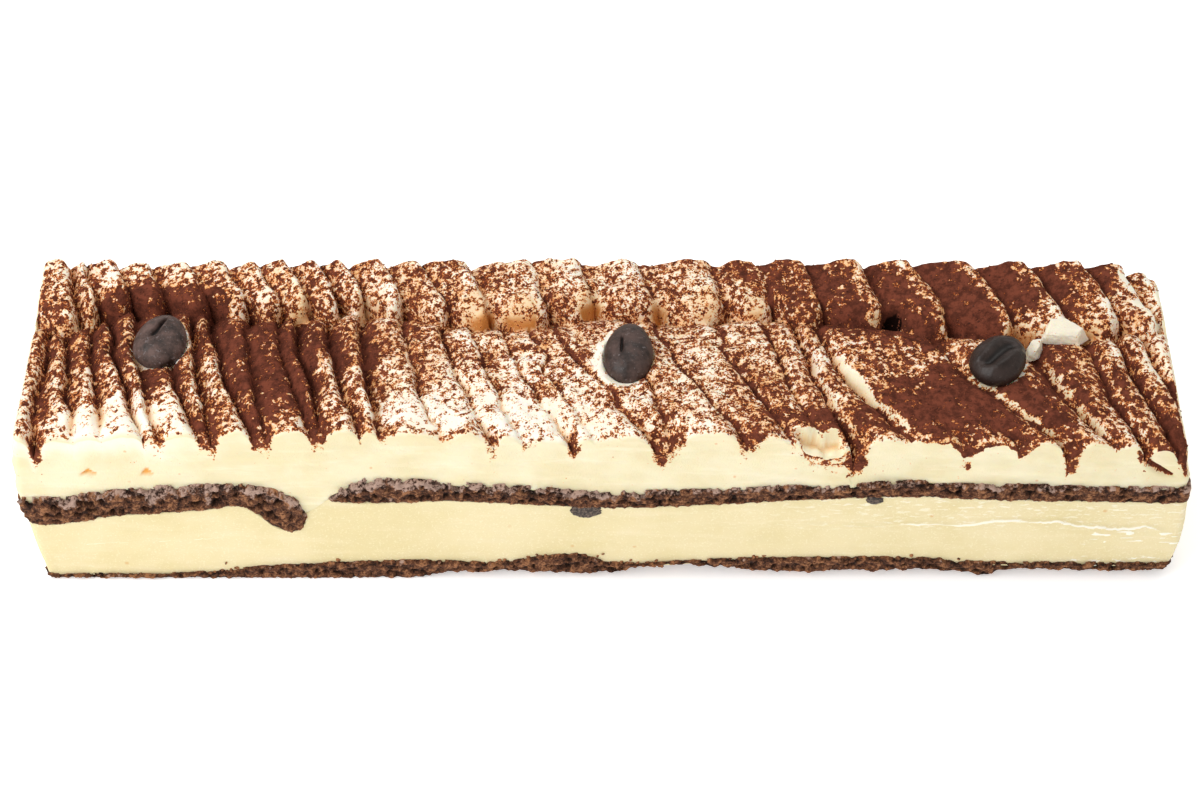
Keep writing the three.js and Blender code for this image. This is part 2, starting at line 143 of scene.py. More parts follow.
def bridge(loop):
    """Faces that close a loop of point numbers straight across, facing up."""
    n = len(loop)
    k = np.arange(1, n // 2 - 1)
    quads = np.stack([loop[k], loop[k + 1], loop[n - k - 1], loop[n - k]], axis=-1).tolist()
    first = [loop[0], loop[1], loop[n - 1]]
    last = [loop[n // 2 - 1], loop[n // 2], loop[n // 2 + 1]]
    return [first] + quads + [last]


def wall(index):
    """Faces between rings of point numbers stacked upwards, facing out."""
    after = np.roll(index, -1, axis=1)
    return np.stack([index[:-1], after[:-1], after[1:], index[1:]], axis=-1).reshape(-1, 4).tolist()


def add_object(name, data):
    added = bpy.data.objects.new(name, data)
    bpy.context.scene.collection.objects.link(added)
    return added


def mark_mesh(mesh, **marks):
    """Gives a mesh smooth faces and one float attribute for each mark."""
    for label, values in marks.items():
        mark = mesh.attributes.new(label, "FLOAT", "POINT")
        mark.data.foreach_set("value", np.asarray(values, dtype=np.float32).ravel())
    mesh.polygons.foreach_set("use_smooth", np.ones(len(mesh.polygons), dtype=bool))


def make_piece(name, points, faces, **marks):
    """New object from points in millimetres, with its marks."""
    mesh = bpy.data.meshes.new(name)
    mesh.from_pydata((np.asarray(points) * MM).tolist(), [], faces)
    mark_mesh(mesh, **marks)
    return add_object(name, mesh)


def stack_rings(name, rings, **marks):
    """Closed piece from an array of rings stacked upwards."""
    index = np.arange(rings.shape[0] * rings.shape[1]).reshape(rings.shape[:2])
    faces = wall(index) + bridge(index[-1]) + [face[::-1] for face in bridge(index[0])]
    return make_piece(name, rings.reshape(-1, 3), faces, **marks)


def layer_place(x, y):
    """Column of the layer pattern at a point, and how far the layers wander there."""
    back = (y + BLOCK_DEPTH / 2) / BLOCK_DEPTH
    column = x + LAYER_SHEAR * back
    return column, LAYER_WAVE * back * np.sin(column / LAYER_WAVE_LENGTH)


def base_top(x, y):
    """Height of the base sponge's upper side."""
    column, wave = layer_place(x, y)
    return line_at(BASE_TOP, column) + 0.4 * wave


def worn_edge(x, y):
    """Height to which the lower edge has crumbled away."""
    front, back = line_at(FRONT_WORN, x), line_at(BACK_WORN, x)
    depth = lerp(front, back, smoothstep(-30, 30, y))
    return depth * (1 + 0.14 * mottle(x, y, 2.6, 3) + 0.2 * mottle(x, y, 7, 4)) + 0.2


def torn_edge(x, y, amount, seed):
    """How far below its top a sheet's upper edge is torn away and filled by what lies on it."""
    fine, coarse = mottle(x, y, 1.5, seed), mottle(x, y, 4, seed + 1)
    return amount * np.clip(0.4 + 1.7 * fine + 1.3 * coarse, 0, None)


def put(tree, kind, inputs, **settings):
    """Adds a node; an input is a value or another node's output."""
    node = tree.nodes.new(kind)
    for field, value in settings.items():
        setattr(node, field, value)
    for key, value in inputs.items():
        if isinstance(value, bpy.types.NodeSocket):
            tree.links.new(value, node.inputs[key])
        else:
            node.inputs[key].default_value = value
    return node


def maths(tree, operation, a, b=0.0, c=0.0):
    return put(tree, "ShaderNodeMath", {0: a, 1: b, 2: c}, operation=operation).outputs[0]


def eased(tree, value, low, high, to_low=0.0, to_high=1.0):
    """The value taken from the range low..high to another range, smoothly and within it."""
    inputs = {0: value, 1: low, 2: high, 3: to_low, 4: to_high}
    return put(tree, "ShaderNodeMapRange", inputs, interpolation_type="SMOOTHSTEP").outputs[0]


def mixed(tree, share, a, b):
    return put(tree, "ShaderNodeMix", {0: share, 6: a, 7: b}, data_type="RGBA").outputs[2]


def speckle(tree, place, scale, detail=2.0, roughness=0.5):
    inputs = {"Vector": place, "Scale": scale, "Detail": detail, "Roughness": roughness}
    return put(tree, "ShaderNodeTexNoise", inputs).outputs[0]


def cells(tree, place, scale):
    """Distance from the middle of each random cell, and a random value for the cell."""
    node = put(tree, "ShaderNodeTexVoronoi", {"Vector": place, "Scale": scale})
    chance = put(tree, "ShaderNodeSeparateXYZ", {0: node.outputs["Color"]}).outputs[0]
    return node.outputs["Distance"], chance


def stretched(tree, place, scale):
    """The place scaled along each axis, which draws a pattern out."""
    return put(tree, "ShaderNodeMapping", {"Vector": place, "Scale": scale}).outputs[0]


def srgb(red, green, blue):
    """A colour given in 0 to 255, as the linear value that a shader takes."""
    channels = [c / 12.92 if c <= 0.04045 else ((c + 0.055) / 1.055) ** 2.4
                for c in (red / 255, green / 255, blue / 255)]
    return (*channels, 1.0)


def mark_value(tree, label):
    return put(tree, "ShaderNodeAttribute", {}, attribute_name=label).outputs["Fac"]


def start_material(name, **sockets):
    """A new material, its tree, its shader with constant sockets set, and Object coordinates."""
    material = bpy.data.materials.new(name)
    material.use_nodes = True
    tree = material.node_tree
    shader = tree.nodes["Principled BSDF"]
    for label, value in sockets.items():
        shader.inputs[label.replace("_", " ")].default_value = value
    return material, tree, shader, tree.nodes.new("ShaderNodeTexCoord").outputs["Object"]


def roughen(tree, shader, height, strength, distance):
    bump = put(tree, "ShaderNodeBump", {"Height": height, "Strength": strength, "Distance": distance})
    tree.links.new(bump.outputs[0], shader.inputs["Normal"])


def start_tree(name, **sizes):
    """A new Geometry Nodes tree with a geometry and named sizes as its inputs."""
    tree = bpy.data.node_groups.new(name, "GeometryNodeTree")
    tree.interface.new_socket("Geometry", in_out="INPUT", socket_type="NodeSocketGeometry")
    for label, value in sizes.items():
        socket = tree.interface.new_socket(label, in_out="INPUT", socket_type="NodeSocketFloat")
        socket.default_value = value
    tree.interface.new_socket("Geometry", in_out="OUTPUT", socket_type="NodeSocketGeometry")
    return tree, tree.nodes.new("NodeGroupInput").outputs, tree.nodes.new("NodeGroupOutput").inputs


def read_mark(tree, label):
    return put(tree, "GeometryNodeInputNamedAttribute", {"Name": label}, data_type="FLOAT").outputs[0]


def store_mark(tree, geometry, label, value):
    inputs = {"Geometry": geometry, "Name": label, "Value": value}
    return put(tree, "GeometryNodeStoreNamedAttribute", inputs, data_type="FLOAT", domain="POINT").outputs[0]


def end_tree(tree, geometry, material, result):
    whole = put(tree, "GeometryNodeRealizeInstances", {"Geometry": geometry}).outputs[0]
    finished = put(tree, "GeometryNodeSetMaterial", {"Geometry": whole, "Material": material})
    tree.links.new(finished.outputs[0], result["Geometry"])


def apply_tree(piece, tree, **sizes):
    """Runs a tree on a piece and keeps the result as its plain mesh."""
    modifier = piece.modifiers.new(tree.name, "NODES")
    modifier.node_group = tree
    for item in tree.interface.items_tree:
        if item.in_out == "INPUT" and item.socket_type == "NodeSocketFloat":
            modifier[item.identifier] = sizes.get(item.name, item.default_value)
    graph = bpy.context.evaluated_depsgraph_get()
    mesh = bpy.data.meshes.new_from_object(piece.evaluated_get(graph))
    piece.modifiers.remove(modifier)
    piece.data = mesh


def sponge_finish():
    """Dark crumb with cream soaked in, near black painted shade in pores, painted highlight on raised crumbs."""
    material, tree, shader, place = start_material("chocolate_sponge", Roughness=0.9)
    shader.inputs["Specular IOR Level"].default_value = 0.2
    grain = speckle(tree, place, 1300.0, 4.0, 0.7)
    tone = maths(tree, "MULTIPLY_ADD", grain, 0.45, maths(tree, "MULTIPLY", mark_value(tree, "crumb"), 0.55))
    body = mixed(tree, eased(tree, tone, 0.43, 0.5), srgb(42, 25, 19), srgb(98, 62, 44))
    # Raised crumbs get a painted highlight, besides a random grain, and the pores get near black painted shade.
    light = mixed(tree, eased(tree, tone, 0.51, 0.58), body, srgb(160, 111, 77))
    hollow = mixed(tree, mark_value(tree, "pore"), light, srgb(29, 17, 13))
    drawn = stretched(tree, place, (420.0, 420.0, 190.0))
    blotch = maths(tree, "ADD", speckle(tree, drawn, 1.0, 4.0, 0.65), mark_value(tree, "soak"))
    soaked = maths(tree, "MULTIPLY", eased(tree, blotch, 0.74, 0.88), eased(tree, tone, 0.45, 0.53, 0.04, 0.9))
    tree.links.new(mixed(tree, soaked, hollow, srgb(184, 156, 143)), shader.inputs["Base Color"])
    roughen(tree, shader, tone, 0.9, 0.0008)
    return material


def crumb_tree(material):
    """Open crumb on a cut sponge: lumpy crumbs, torn pores away from its edges, ragged edges."""
    tree, given, result = start_tree(
        "sponge_crumb", Crumb_Size=2.6 * MM, Crumb_Depth=2.6 * MM, Pore_Size=2.8 * MM, Pore_Depth=1.2 * MM,
        Edge_Wander=4.5 * MM)
    place = tree.nodes.new("GeometryNodeInputPosition").outputs[0]
    facing = tree.nodes.new("GeometryNodeInputNormal").outputs[0]
    crumb = speckle(tree, place, maths(tree, "DIVIDE", 1.0, given["Crumb_Size"]), 4.0, 0.65)
    rise = maths(tree, "MULTIPLY", maths(tree, "SUBTRACT", crumb, 0.5), given["Crumb_Depth"])
    warp = put(tree, "ShaderNodeTexNoise", {"Vector": place, "Scale": 420.0, "Detail": 2.0}).outputs["Color"]
    bent = put(tree, "ShaderNodeVectorMath", {0: warp, 1: (3.2 * MM,) * 3, 2: place},
               operation="MULTIPLY_ADD").outputs[0]
    middle, chance = cells(tree, bent, maths(tree, "DIVIDE", 1.0, given["Pore_Size"]))
    open_pore = maths(tree, "MULTIPLY", eased(tree, middle, 0.52, 0.28), eased(tree, chance, 0.42, 0.48))
    pore = maths(tree, "MULTIPLY", open_pore, read_mark(tree, "core"))
    outward = maths(tree, "SUBTRACT", rise, maths(tree, "MULTIPLY", pore, given["Pore_Depth"]))
    moved = put(tree, "ShaderNodeVectorMath", {0: facing, "Scale": outward}, operation="SCALE").outputs[0]
    drift = maths(tree, "SUBTRACT", speckle(tree, place, 430.0, 4.0, 0.65), 0.5)
    wander = maths(tree, "MULTIPLY", maths(tree, "MULTIPLY", drift, read_mark(tree, "loose")), given["Edge_Wander"])
    lift = put(tree, "ShaderNodeCombineXYZ", {2: wander})
    offset = put(tree, "ShaderNodeVectorMath", {0: moved, 1: lift.outputs[0]}, operation="ADD").outputs[0]
    marked = store_mark(tree, store_mark(tree, given["Geometry"], "pore", pore), "crumb", crumb)
    shaped = put(tree, "GeometryNodeSetPosition", {"Geometry": marked, "Offset": offset})
    end_tree(tree, shaped.outputs[0], material, result)
    return tree


half_length = BLOCK_LENGTH / 2
block_ends = ((-half_length,) * 2, (half_length,) * 2)
base_loop = outline(*block_ends, BASE_COLUMNS, BASE_ROWS)
base_x, base_y, _, base_facing = base_loop
crust = base_top(base_x, base_y)
worn = np.minimum(worn_edge(base_x, base_y), crust - BASE_LEAST)
even = np.zeros_like(worn)
base_rings = [ring(base_loop, 0.0, -worn - 0.6)]
base_core, base_soak, base_loose = [even], [even], [even]
torn = np.clip(torn_edge(base_x, base_y, 0.6, 61) / (crust - worn), 0.06, 0.3)
for share in np.linspace(0, 1, BASE_RINGS):
    sunk = BASE_TORN * smoothstep(1 - torn - 0.03, 1 - torn + 0.04, share)
    clear = SPONGE_PROUD + BASE_BULGE * smoothstep(0.6, 0.2, 1 - torn - share) * np.abs(base_facing)
    base_rings.append(ring(base_loop, lerp(worn, crust, share), clear - sunk))
    base_core.append(even + smoothstep(0, 0.25, share) * smoothstep(1, 0.75, share))
    base_soak.append(even + 0.17 * smoothstep(0.55, 0.95, share))
    base_loose.append(even + lerp(0.4, 0.25, share))
base_sponge = stack_rings("cut_base_sponge", np.array(base_rings), core=base_core, soak=base_soak, loose=base_loose)
sponge_material = sponge_finish()
sponge_crumb = crumb_tree(sponge_material)
apply_tree(base_sponge, sponge_crumb)
# No crumb goes below the floor.
places = np.empty(3 * len(base_sponge.data.vertices))
base_sponge.data.vertices.foreach_get("co", places)
places[2::3] = np.maximum(places[2::3], 0)
base_sponge.data.vertices.foreach_set("co", places)
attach(base_sponge, "root")
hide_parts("base_sponge")


# Lower mousse: a thick layer of pale set mousse, poured on the base sponge and cut with a wet
# knife. The blade left faint level streaks and, to the right, a torn line where it dragged.
# The lower and upper side of both sponge sheets, and the torn line, are x and height.
LEFT_LOWER = [(-176, 25.2), (-168, 24.8), (-148, 28.6), (-121, 31.4), (-111, 33.4), (-105.5, 29.6), (-100.5, 23.6),
              (-96, 21.8), (-91, 21)]
LEFT_UPPER = [(-176, 37.6), (-160, 39), (-143, 42.4), (-119, 43.9), (-107, 43.2), (-98, 41), (-91, 37.5)]
RIGHT_LOWER = [(-83, 35.4), (-70, 34.5), (-46, 35.6), (4, 32.5), (60, 36), (92, 37.5), (122, 36), (176, 34.6)]
RIGHT_UPPER = [(-83, 38.6), (-74, 45.8), (-58, 46.3), (-20, 42.8), (0, 40.6), (30, 42.4), (70, 43.6), (96, 45.5),
               (115, 43.8), (176, 43)]
LEFT_SHEET_END, RIGHT_SHEET_START, SHEET_END_RADIUS = -91.0, -83.0, 4.0
MOUSSE_COLUMNS, MOUSSE_ROWS, MOUSSE_RINGS = 430, 100, 90
# How far a layer reaches behind the sponge on its edge, and how far it steps in there.
SHEET_LAP, SHEET_TUCK = 4.4, 2.2
BASE_LAP, BASE_TUCK = 3.2, 1.5
TEAR_LINE = [(60, 25.4), (80, 24.6), (100, 25.2), (110, 24.9), (117, 26.4), (123, 27), (131, 26.3), (139, 26),
             (146, 24.4), (153, 22.9), (160, 23.7), (166, 23.9), (172, 22)]
TEAR_HEIGHT, TEAR_ABOVE, TEAR_BELOW, BRANCH_HEIGHT = 0.9, 0.8, 0.4, 0.25
FAINT_FROM, FAINT_TO, FAINT_WIDTH = (-165, 15.4), (-100, 19.8), 0.35


def sponge_band(x, y):
    """Lower and upper height of the middle sponge at a point, and half its thickness there."""
    column, wave = layer_place(x, y)
    left_mid = (line_at(LEFT_LOWER, column) + line_at(LEFT_UPPER, column)) / 2
    right_mid = (line_at(RIGHT_LOWER, column) + line_at(RIGHT_UPPER, column)) / 2
    half = np.where(column < (LEFT_SHEET_END + RIGHT_SHEET_START) / 2,
                    line_at(LEFT_UPPER, column) - left_mid, line_at(RIGHT_UPPER, column) - right_mid)
    inside = np.maximum(LEFT_SHEET_END - column, column - RIGHT_SHEET_START) / SHEET_END_RADIUS
    half = half * np.sqrt(1 - (1 - np.clip(inside, 0, 1)) ** 2)
    t = np.clip((column - LEFT_SHEET_END) / (RIGHT_SHEET_START - LEFT_SHEET_END), 0, 1)
    mid = lerp(left_mid, right_mid, t) + wave
    return mid - half, mid + half, half


def front_face(y):
    """1 on the front cut face, 0 on the other sides."""
    return smoothstep(-BLOCK_DEPTH / 2 + 2, -BLOCK_DEPTH / 2 + 1, y)


def knife_drag(x, y, z):
    """How far a cut face stands out: slow waves and fine level streaks left by the blade."""
    along = x + y
    return 0.14 * patchy(along / 26, z / 6, 11) + 0.04 * patchy(along / 14, z / 1.1, 12)


def flecks(tree, place, scale, rim, heart):
    """Share of colour in a few small round flecks."""
    middle, chance = cells(tree, place, scale)
    fleck = maths(tree, "MULTIPLY", eased(tree, middle, rim, heart), eased(tree, chance, 0.93, 0.95))
    return maths(tree, "MULTIPLY", fleck, 0.5)


def mousse_finish():
    """Pale yellow mousse, faintly streaked along the cut, with paler torn and frosty marks."""
    material, tree, shader, place = start_material("pale_mousse", Roughness=0.55, Subsurface_Weight=0.15)
    shader.inputs["Subsurface Scale"].default_value = 0.003
    shader.inputs["Subsurface Radius"].default_value = (1.0, 0.75, 0.4)
    shader.inputs["Specular IOR Level"].default_value = 0.3
    streak = speckle(tree, stretched(tree, place, (45.0, 45.0, 330.0)), 1.0, 4.0, 0.6)
    cloud = speckle(tree, place, 40.0, 4.0, 0.55)
    body = mixed(tree, eased(tree, cloud, 0.35, 0.65), srgb(227, 212, 163), srgb(234, 220, 177))
    drawn = mixed(tree, eased(tree, streak, 0.5, 0.75, 0.0, 0.45), body, srgb(241, 228, 194))
    grain = eased(tree, speckle(tree, place, 1500.0, 2.0, 0.6), 0.55, 0.7, 0.0, 0.35)
    grainy = mixed(tree, grain, drawn, srgb(254, 247, 222))
    flecked = mixed(tree, flecks(tree, place, 210.0, 0.2, 0.06), grainy, srgb(214, 160, 84))
    dashes = speckle(tree, stretched(tree, place, (260.0, 260.0, 900.0)), 1.0, 3.0, 0.6)
    frost = maths(tree, "MULTIPLY", eased(tree, dashes, 0.55, 0.62), mark_value(tree, "frost"))
    pale = maths(tree, "MAXIMUM", eased(tree, mark_value(tree, "torn"), 0.3, 0.6), frost)
    tree.links.new(mixed(tree, pale, flecked, srgb(255, 251, 236)), shader.inputs["Base Color"])
    roughen(tree, shader, maths(tree, "ADD", streak, frost), 0.2, 0.0004)
    return material


mousse_loop = outline(*block_ends, MOUSSE_COLUMNS, MOUSSE_ROWS)
loop_x, loop_y = mousse_loop[:2]
under, _, half = sponge_band(loop_x, loop_y)
base_line = base_top(loop_x, loop_y)
mousse_low = base_line - np.minimum(BASE_LAP, 0.55 * base_line)
mousse_high = under + np.minimum(SHEET_LAP, 0.8 * half)
at_front = front_face(loop_y)
along_tear = lerp(0.5, 1, smoothstep(70, 115, loop_x)) * smoothstep(56, 64, loop_x)
along_tear = along_tear * smoothstep(176, 168, loop_x) * at_front
along_tear = along_tear * (0.75 + 0.25 * patchy(loop_x / 5, 0 * loop_x, 23))
ragged = 0.7 * patchy(loop_x / 3, 0 * loop_x, 21) + 0.45 * patchy(loop_x / 1.1, 0 * loop_x, 22)
tear_height = line_at(TEAR_LINE, loop_x) + ragged * lerp(0.35, 1, smoothstep(120, 155, loop_x))
# Up the cut sides: the torn line and its branches, a faint line at the left, frost and crumbs.
mousse_rings, torn_marks, frost_marks, crumb_marks = [], [], [], []
for share in np.linspace(0, 1, MOUSSE_RINGS):
    z = lerp(mousse_low, mousse_high, share)
    gap = z - tear_height
    tear = along_tear * np.exp(-(gap / np.where(gap > 0, TEAR_ABOVE, TEAR_BELOW)) ** 2)
    faint = smoothstep(-168, -160, loop_x) * smoothstep(-92, -110, loop_x) * at_front
    along = (loop_x - FAINT_FROM[0]) / (FAINT_TO[0] - FAINT_FROM[0])
    gap = z - lerp(FAINT_FROM[1], FAINT_TO[1], along) - 0.5 * ragged
    faint = faint * (0.42 + 0.2 * patchy(loop_x / 4, 0 * loop_x, 66)) * np.exp(-(gap / FAINT_WIDTH) ** 2)
    branch = smoothstep(138, 156, loop_x) * at_front * smoothstep(0.32, 0.6, patchy(loop_x / 3.5, z / 0.7, 24))
    branch = branch * smoothstep(13, 16, z) * smoothstep(24, 21, z)
    tucked = SHEET_TUCK * smoothstep(0.1, 0.7, z - under)
    tucked = tucked + BASE_TUCK * smoothstep(0.72, 0.96, (base_line - z) / (base_line - mousse_low))
    proud = knife_drag(loop_x, loop_y, z) + TEAR_HEIGHT * tear + BRANCH_HEIGHT * branch
    mousse_rings.append(ring(mousse_loop, z, proud - tucked))
    torn_marks.append(np.maximum(np.maximum(0.95 * tear, 0.8 * branch), faint))
    frosty = smoothstep(40, 80, loop_x) * smoothstep(1.5, 2.5, under - z) * smoothstep(6.5, 4, under - z)
    scraped = smoothstep(138, 150, loop_x) * smoothstep(3.6, 0.6, z - base_line) * 1.2
    thin = 0.45 * smoothstep(20, 90, loop_x) * smoothstep(20, 26, z)
    frost_marks.append(np.maximum(np.maximum(0.6 * frosty, scraped), thin) * at_front)
    dragged = smoothstep(-0.2, 0.6, mottle(loop_x, loop_y, 9, 25))
    crumb_marks.append(np.exp(-np.maximum(z - base_line, 0) / 1.3) * dragged)
lower_mousse = stack_rings(
    "cut_lower_mousse", np.array(mousse_rings), torn=torn_marks, frost=frost_marks, crumby=crumb_marks)
lower_mousse.data.set_sharp_from_angle(angle=math.radians(50))
lower_mousse.data.materials.append(mousse_finish())
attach(lower_mousse, "root")
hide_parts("lower_mousse")


# Chocolate drops: two small wrinkled drops that were stirred into the mousse and show at the
# front face, just under the middle sponge.
# A drop is x and height of its middle, and its size.
DROPS = {
    "chocolate_drop_left": ((-5.5, 31.2), (10, 6, 6.4)),
    "chocolate_drop_right": ((82, 36.1), (5.6, 4.4, 3.8)),
}
DROP_PROUD = 0.5
DROP_RINGS, DROP_SIDES = 40, 64


def tip_faces(index, first_tip):
    """Faces that close the first and last ring of a rounded piece to its two tips."""
    faces = []
    for loop, tip, step in ((index[0], first_tip, -1), (index[-1], first_tip + 1, 1)):
        after = np.roll(loop, -1)
        faces += [[a, b, tip][::step] for a, b in zip(loop.tolist(), after.tolist())]
    return faces


def drop_piece(name, place, size):
    """A wrinkled drop set into the front face, standing a little out of it."""
    polar = np.linspace(0, np.pi, DROP_RINGS + 1)[1:-1][:, None]
    angle = 2 * np.pi * np.arange(DROP_SIDES) / DROP_SIDES
    ux = np.sin(polar) ** 1.5 * np.cos(angle)
    uy = np.sin(polar) * np.sin(angle)
    uz = -np.cos(polar) + 0 * angle
    wrinkle = 1 + 0.1 * patchy(ux * 3 + 7, uz * 3, 61) + 0.07 * patchy(ux * 8, uz * 9 + 3, 62)
    deep = np.where(uy < 0, DROP_PROUD, size[1] / 2)
    points = np.stack([ux * wrinkle * size[0] / 2 + place[0], uy * wrinkle * deep - BLOCK_DEPTH / 2,
                       uz * wrinkle * size[2] / 2 + place[1]], axis=-1).reshape(-1, 3)
    tips = [[place[0], -BLOCK_DEPTH / 2, place[1] + side * size[2] / 2] for side in (-1, 1)]
    index = np.arange(len(points)).reshape(ux.shape)
    return make_piece(name, np.vstack([points, tips]), wall(index) + tip_faces(index, len(points)))


def drop_finish():
    """Dull dark chocolate with a grey, finely wrinkled skin."""
    material, tree, shader, place = start_material("drop_chocolate", Roughness=0.6)
    skin = speckle(tree, place, 900.0, 4.0, 0.7)
    tree.links.new(mixed(tree, eased(tree, skin, 0.42, 0.68), srgb(36, 26, 22), srgb(120, 101, 89)),
                   shader.inputs["Base Color"])
    roughen(tree, shader, skin, 0.7, 0.0006)
    return material


drop_material = drop_finish()
for node, (place, size) in DROPS.items():
    piece = drop_piece("wrinkled_" + node, place, size)
    piece.data.materials.append(drop_material)
    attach(piece, "root")
    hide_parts(node)


# Middle sponge: chocolate sponge laid on the mousse in two sheets, the left one longer than its
# place so that its end sags into the mousse. Cream has soaked into the upper side in patches.
# A soaked patch is x, height within the sheet, reach along x, reach in height, amount.
SOAKED = [
    (-162, 0.75, 3, 0.4, 0.5), (-136, 0.65, 3.5, 0.4, 0.55), (-119, 0.35, 3, 0.35, 0.5), (-106, 0.5, 2.5, 0.5, 0.3),
    (-75, 0.75, 8, 0.35, 0.5), (-64, 0.15, 2.5, 0.25, 0.6), (-58, 0.8, 5, 0.35, 0.5), (-51, 0.7, 1.5, 0.4, 0.5),
    (-40, 0.95, 9, 0.25, 0.55), (-11, 0.7, 3, 0.4, 0.55), (-3, 0.95, 6, 0.25, 0.55)]
LEFT_COLUMNS, RIGHT_COLUMNS, SHEET_ROWS, SHEET_RINGS = 190, 520, 110, 25
SHEET_BULGE, SHEET_TORN, SHEET_UNDERCUT = 0.8, 2.6, 0.6
# The sheets stop just short of the seam between them.
SEAM_GAP = 0.15


def sponge_sheet(name, left, right, columns, **crumb_sizes):
    """One sheet between its two ends, torn along its upper edge, with its crumb."""
    loop = outline(left, right, columns, SHEET_ROWS)
    x, y, _, facing = loop
    low, high, half = sponge_band(x, y)
    rings, soak, core, loose = [], [], [], []
    torn = torn_edge(x, y, lerp(1.8, 0.9, smoothstep(-30, 40, x)), 59)
    torn = np.clip(torn / np.maximum(2 * half, 4), 0.04, 0.36)
    for share in np.linspace(0, 1, SHEET_RINGS):
        sunk = SHEET_UNDERCUT * smoothstep(0.07, 0, share)
        sunk = sunk + SHEET_TORN * smoothstep(1 - torn - 0.025, 1 - torn + 0.025, share)
        bulge = SHEET_BULGE * smoothstep(0.6, 0.2, 1 - torn - share) * smoothstep(0.3, 2, half)
        rings.append(ring(loop, lerp(low, high, share), SPONGE_PROUD + bulge * np.abs(facing) - sunk))
        wet = 0.32 * smoothstep(0.45, 0.04, 1 - torn - share)
        for middle, level, reach, rise, amount in SOAKED:
            wet = wet + 0.6 * amount * np.exp(-((x - middle) / reach) ** 2 - ((share - level) / rise) ** 2)
        soak.append(wet)
        core.append(0 * x + smoothstep(0, 0.2, share) * smoothstep(1, 0.8, share))
        loose.append(0 * x + lerp(0.45, 0.3, share))
    sheet = stack_rings(name, np.array(rings), soak=soak, core=core, loose=loose)
    apply_tree(sheet, sponge_crumb, **crumb_sizes)
    return sheet


left_tip = LEFT_SHEET_END - SEAM_GAP
right_tip = RIGHT_SHEET_START + SEAM_GAP
left_sheet = sponge_sheet(
    "cut_sponge_left", (-half_length,) * 2, (left_tip, left_tip - LAYER_SHEAR), LEFT_COLUMNS,
    Pore_Size=3.2 * MM, Pore_Depth=2.0 * MM, Crumb_Depth=3.2 * MM)
right_sheet = sponge_sheet(
    "cut_sponge_right", (right_tip, right_tip - LAYER_SHEAR), (half_length,) * 2, RIGHT_COLUMNS)
for sheet, node in ((left_sheet, "middle_sponge_left"), (right_sheet, "middle_sponge_right")):
    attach(sheet, "root")
    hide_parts(node)


# Top cream: the whitest layer, spread over the sponge and worked with a palette knife in two rows
# of slanting strokes, the back row ending in rounded lobes on the front one. Cocoa was then sifted
# over it, and the knife that trimmed the sides left their faces clean.
CREAM_COLUMNS, CREAM_ROWS, CREAM_WALL_RINGS = 520, 116, 30
CREAM_LEVEL = 61.0
FRONT_REACH = -BLOCK_DEPTH / 2 - 1
# A front groove is x at the front face, x at its head, depth of its notch.
FRONT_GROOVES = np.array([
    (-182, -184, 4), (-170, -171, 9), (-157, -167, 2), (-149, -159.5, 2), (-136, -154, 4), (-132, -146.5, 5),
    (-119.5, -138, 4), (-116.5, -128, 6), (-103.5, -123, 6), (-100, -111, 5), (-86, -102, 5), (-82.5, -96.5, 4),
    (-72, -86.5, 4), (-66.5, -76.5, 4), (-47.5, -62.5, 3), (-32, -50.5, 5), (-24, -40.5, 2), (-8.5, -32, 6),
    (-2, -23.5, 1.5), (16.5, -16, 7.5), (20, 9, 6.5), (43, 14.5, 6), (57, 33.5, 3), (66, 48.5, 1), (75, 58.5, 13.5),
    (93, 64, 1), (108, 79, 4), (125, 91, 4), (140, 99, 12), (153, 130, 2), (162, 149, 7), (172, 157.5, 6),
    (181, 166, 5), (191, 175, 5), (201, 185, 5)])
# These grooves are notches in the front edge alone.
EDGE_ONLY = (108, 125)
FRONT_CREST = [(-176, 64), (-130, 66), (-96, 67.2), (-58, 66.7), (-38, 64.8), (-4, 63.7), (34, 66), (52, 64.3),
               (96, 62.8), (150, 61.6), (176, 59)]
# A front stroke's head lies low and runs in under the lobes of the back row.
HEAD_HEIGHT, HEAD_DROP, HEAD_UNDER = 59.4, 6.5, 5.5
GROOVE_DEPTH = 4.2
GROOVE_SHARE = [(-178, 1.15), (-64, 1.05), (-42, 0.5), (40, 0.5), (60, 0.85), (176, 0.95)]
# Part of the front edge that broke off and left a ledge: from x to x, and depth.
BROKEN_FROM, BROKEN_TO, BROKEN_DROP = 59.5, 73, 6
BACK_REACH = BLOCK_DEPTH / 2 + 1
BACK_GROOVES = np.array([
    -192, -181, -169, -163, -153, -142, -130, -119, -109, -100, -90, -81, -70, -57, -43, -24, -9, 11, 33, 48, 62, 80,
    97, 115, 133, 151, 164, 172, 182], float)
# How far a back stroke slants to the right on its way to the front, by x.
BACK_SLANT = [(-192, 6), (-120, 13), (-60, 12), (0, 9), (50, 8), (130, 13), (182, 6)]
SLANT_END = 11.5
BACK_CREST, BACK_DEPTH = 63.4, 3.6
BACK_SHARE = [(-178, 1), (-60, 0.9), (-30, 0.7), (40, 0.75), (70, 1.1), (176, 1.1)]
BACK_SAG = 5
# The lobes end about this line, x and y.
LOBE_LINE = [(-176, 12), (-160, 13), (-148, 18.5), (-122, 18.5), (-105, 16.5), (-86, 16.5), (-72, 20), (-45, 12.5),
             (-25, 12.5), (0, 15.5), (31, 14.5), (50, 16.5), (70, 13), (88, 11.5), (105, 9), (128, 6.5), (145, 6.5),
             (160, 9), (176, 10.5)]
LOBE_CURVE, LOBE_HEIGHT, LOBE_JITTER = 6.0, 6.5, 2.2
LEVEL_JITTER, STROKE_SEED = 0.7, 4.1
EDGE_ROUND = 1.4
# Reach in grid cells of the highest crest near a notch, and of the mean that painted shade in hollows is measured from.
CREST_REACH, PAINTED_SHADE_REACH = 16, 6
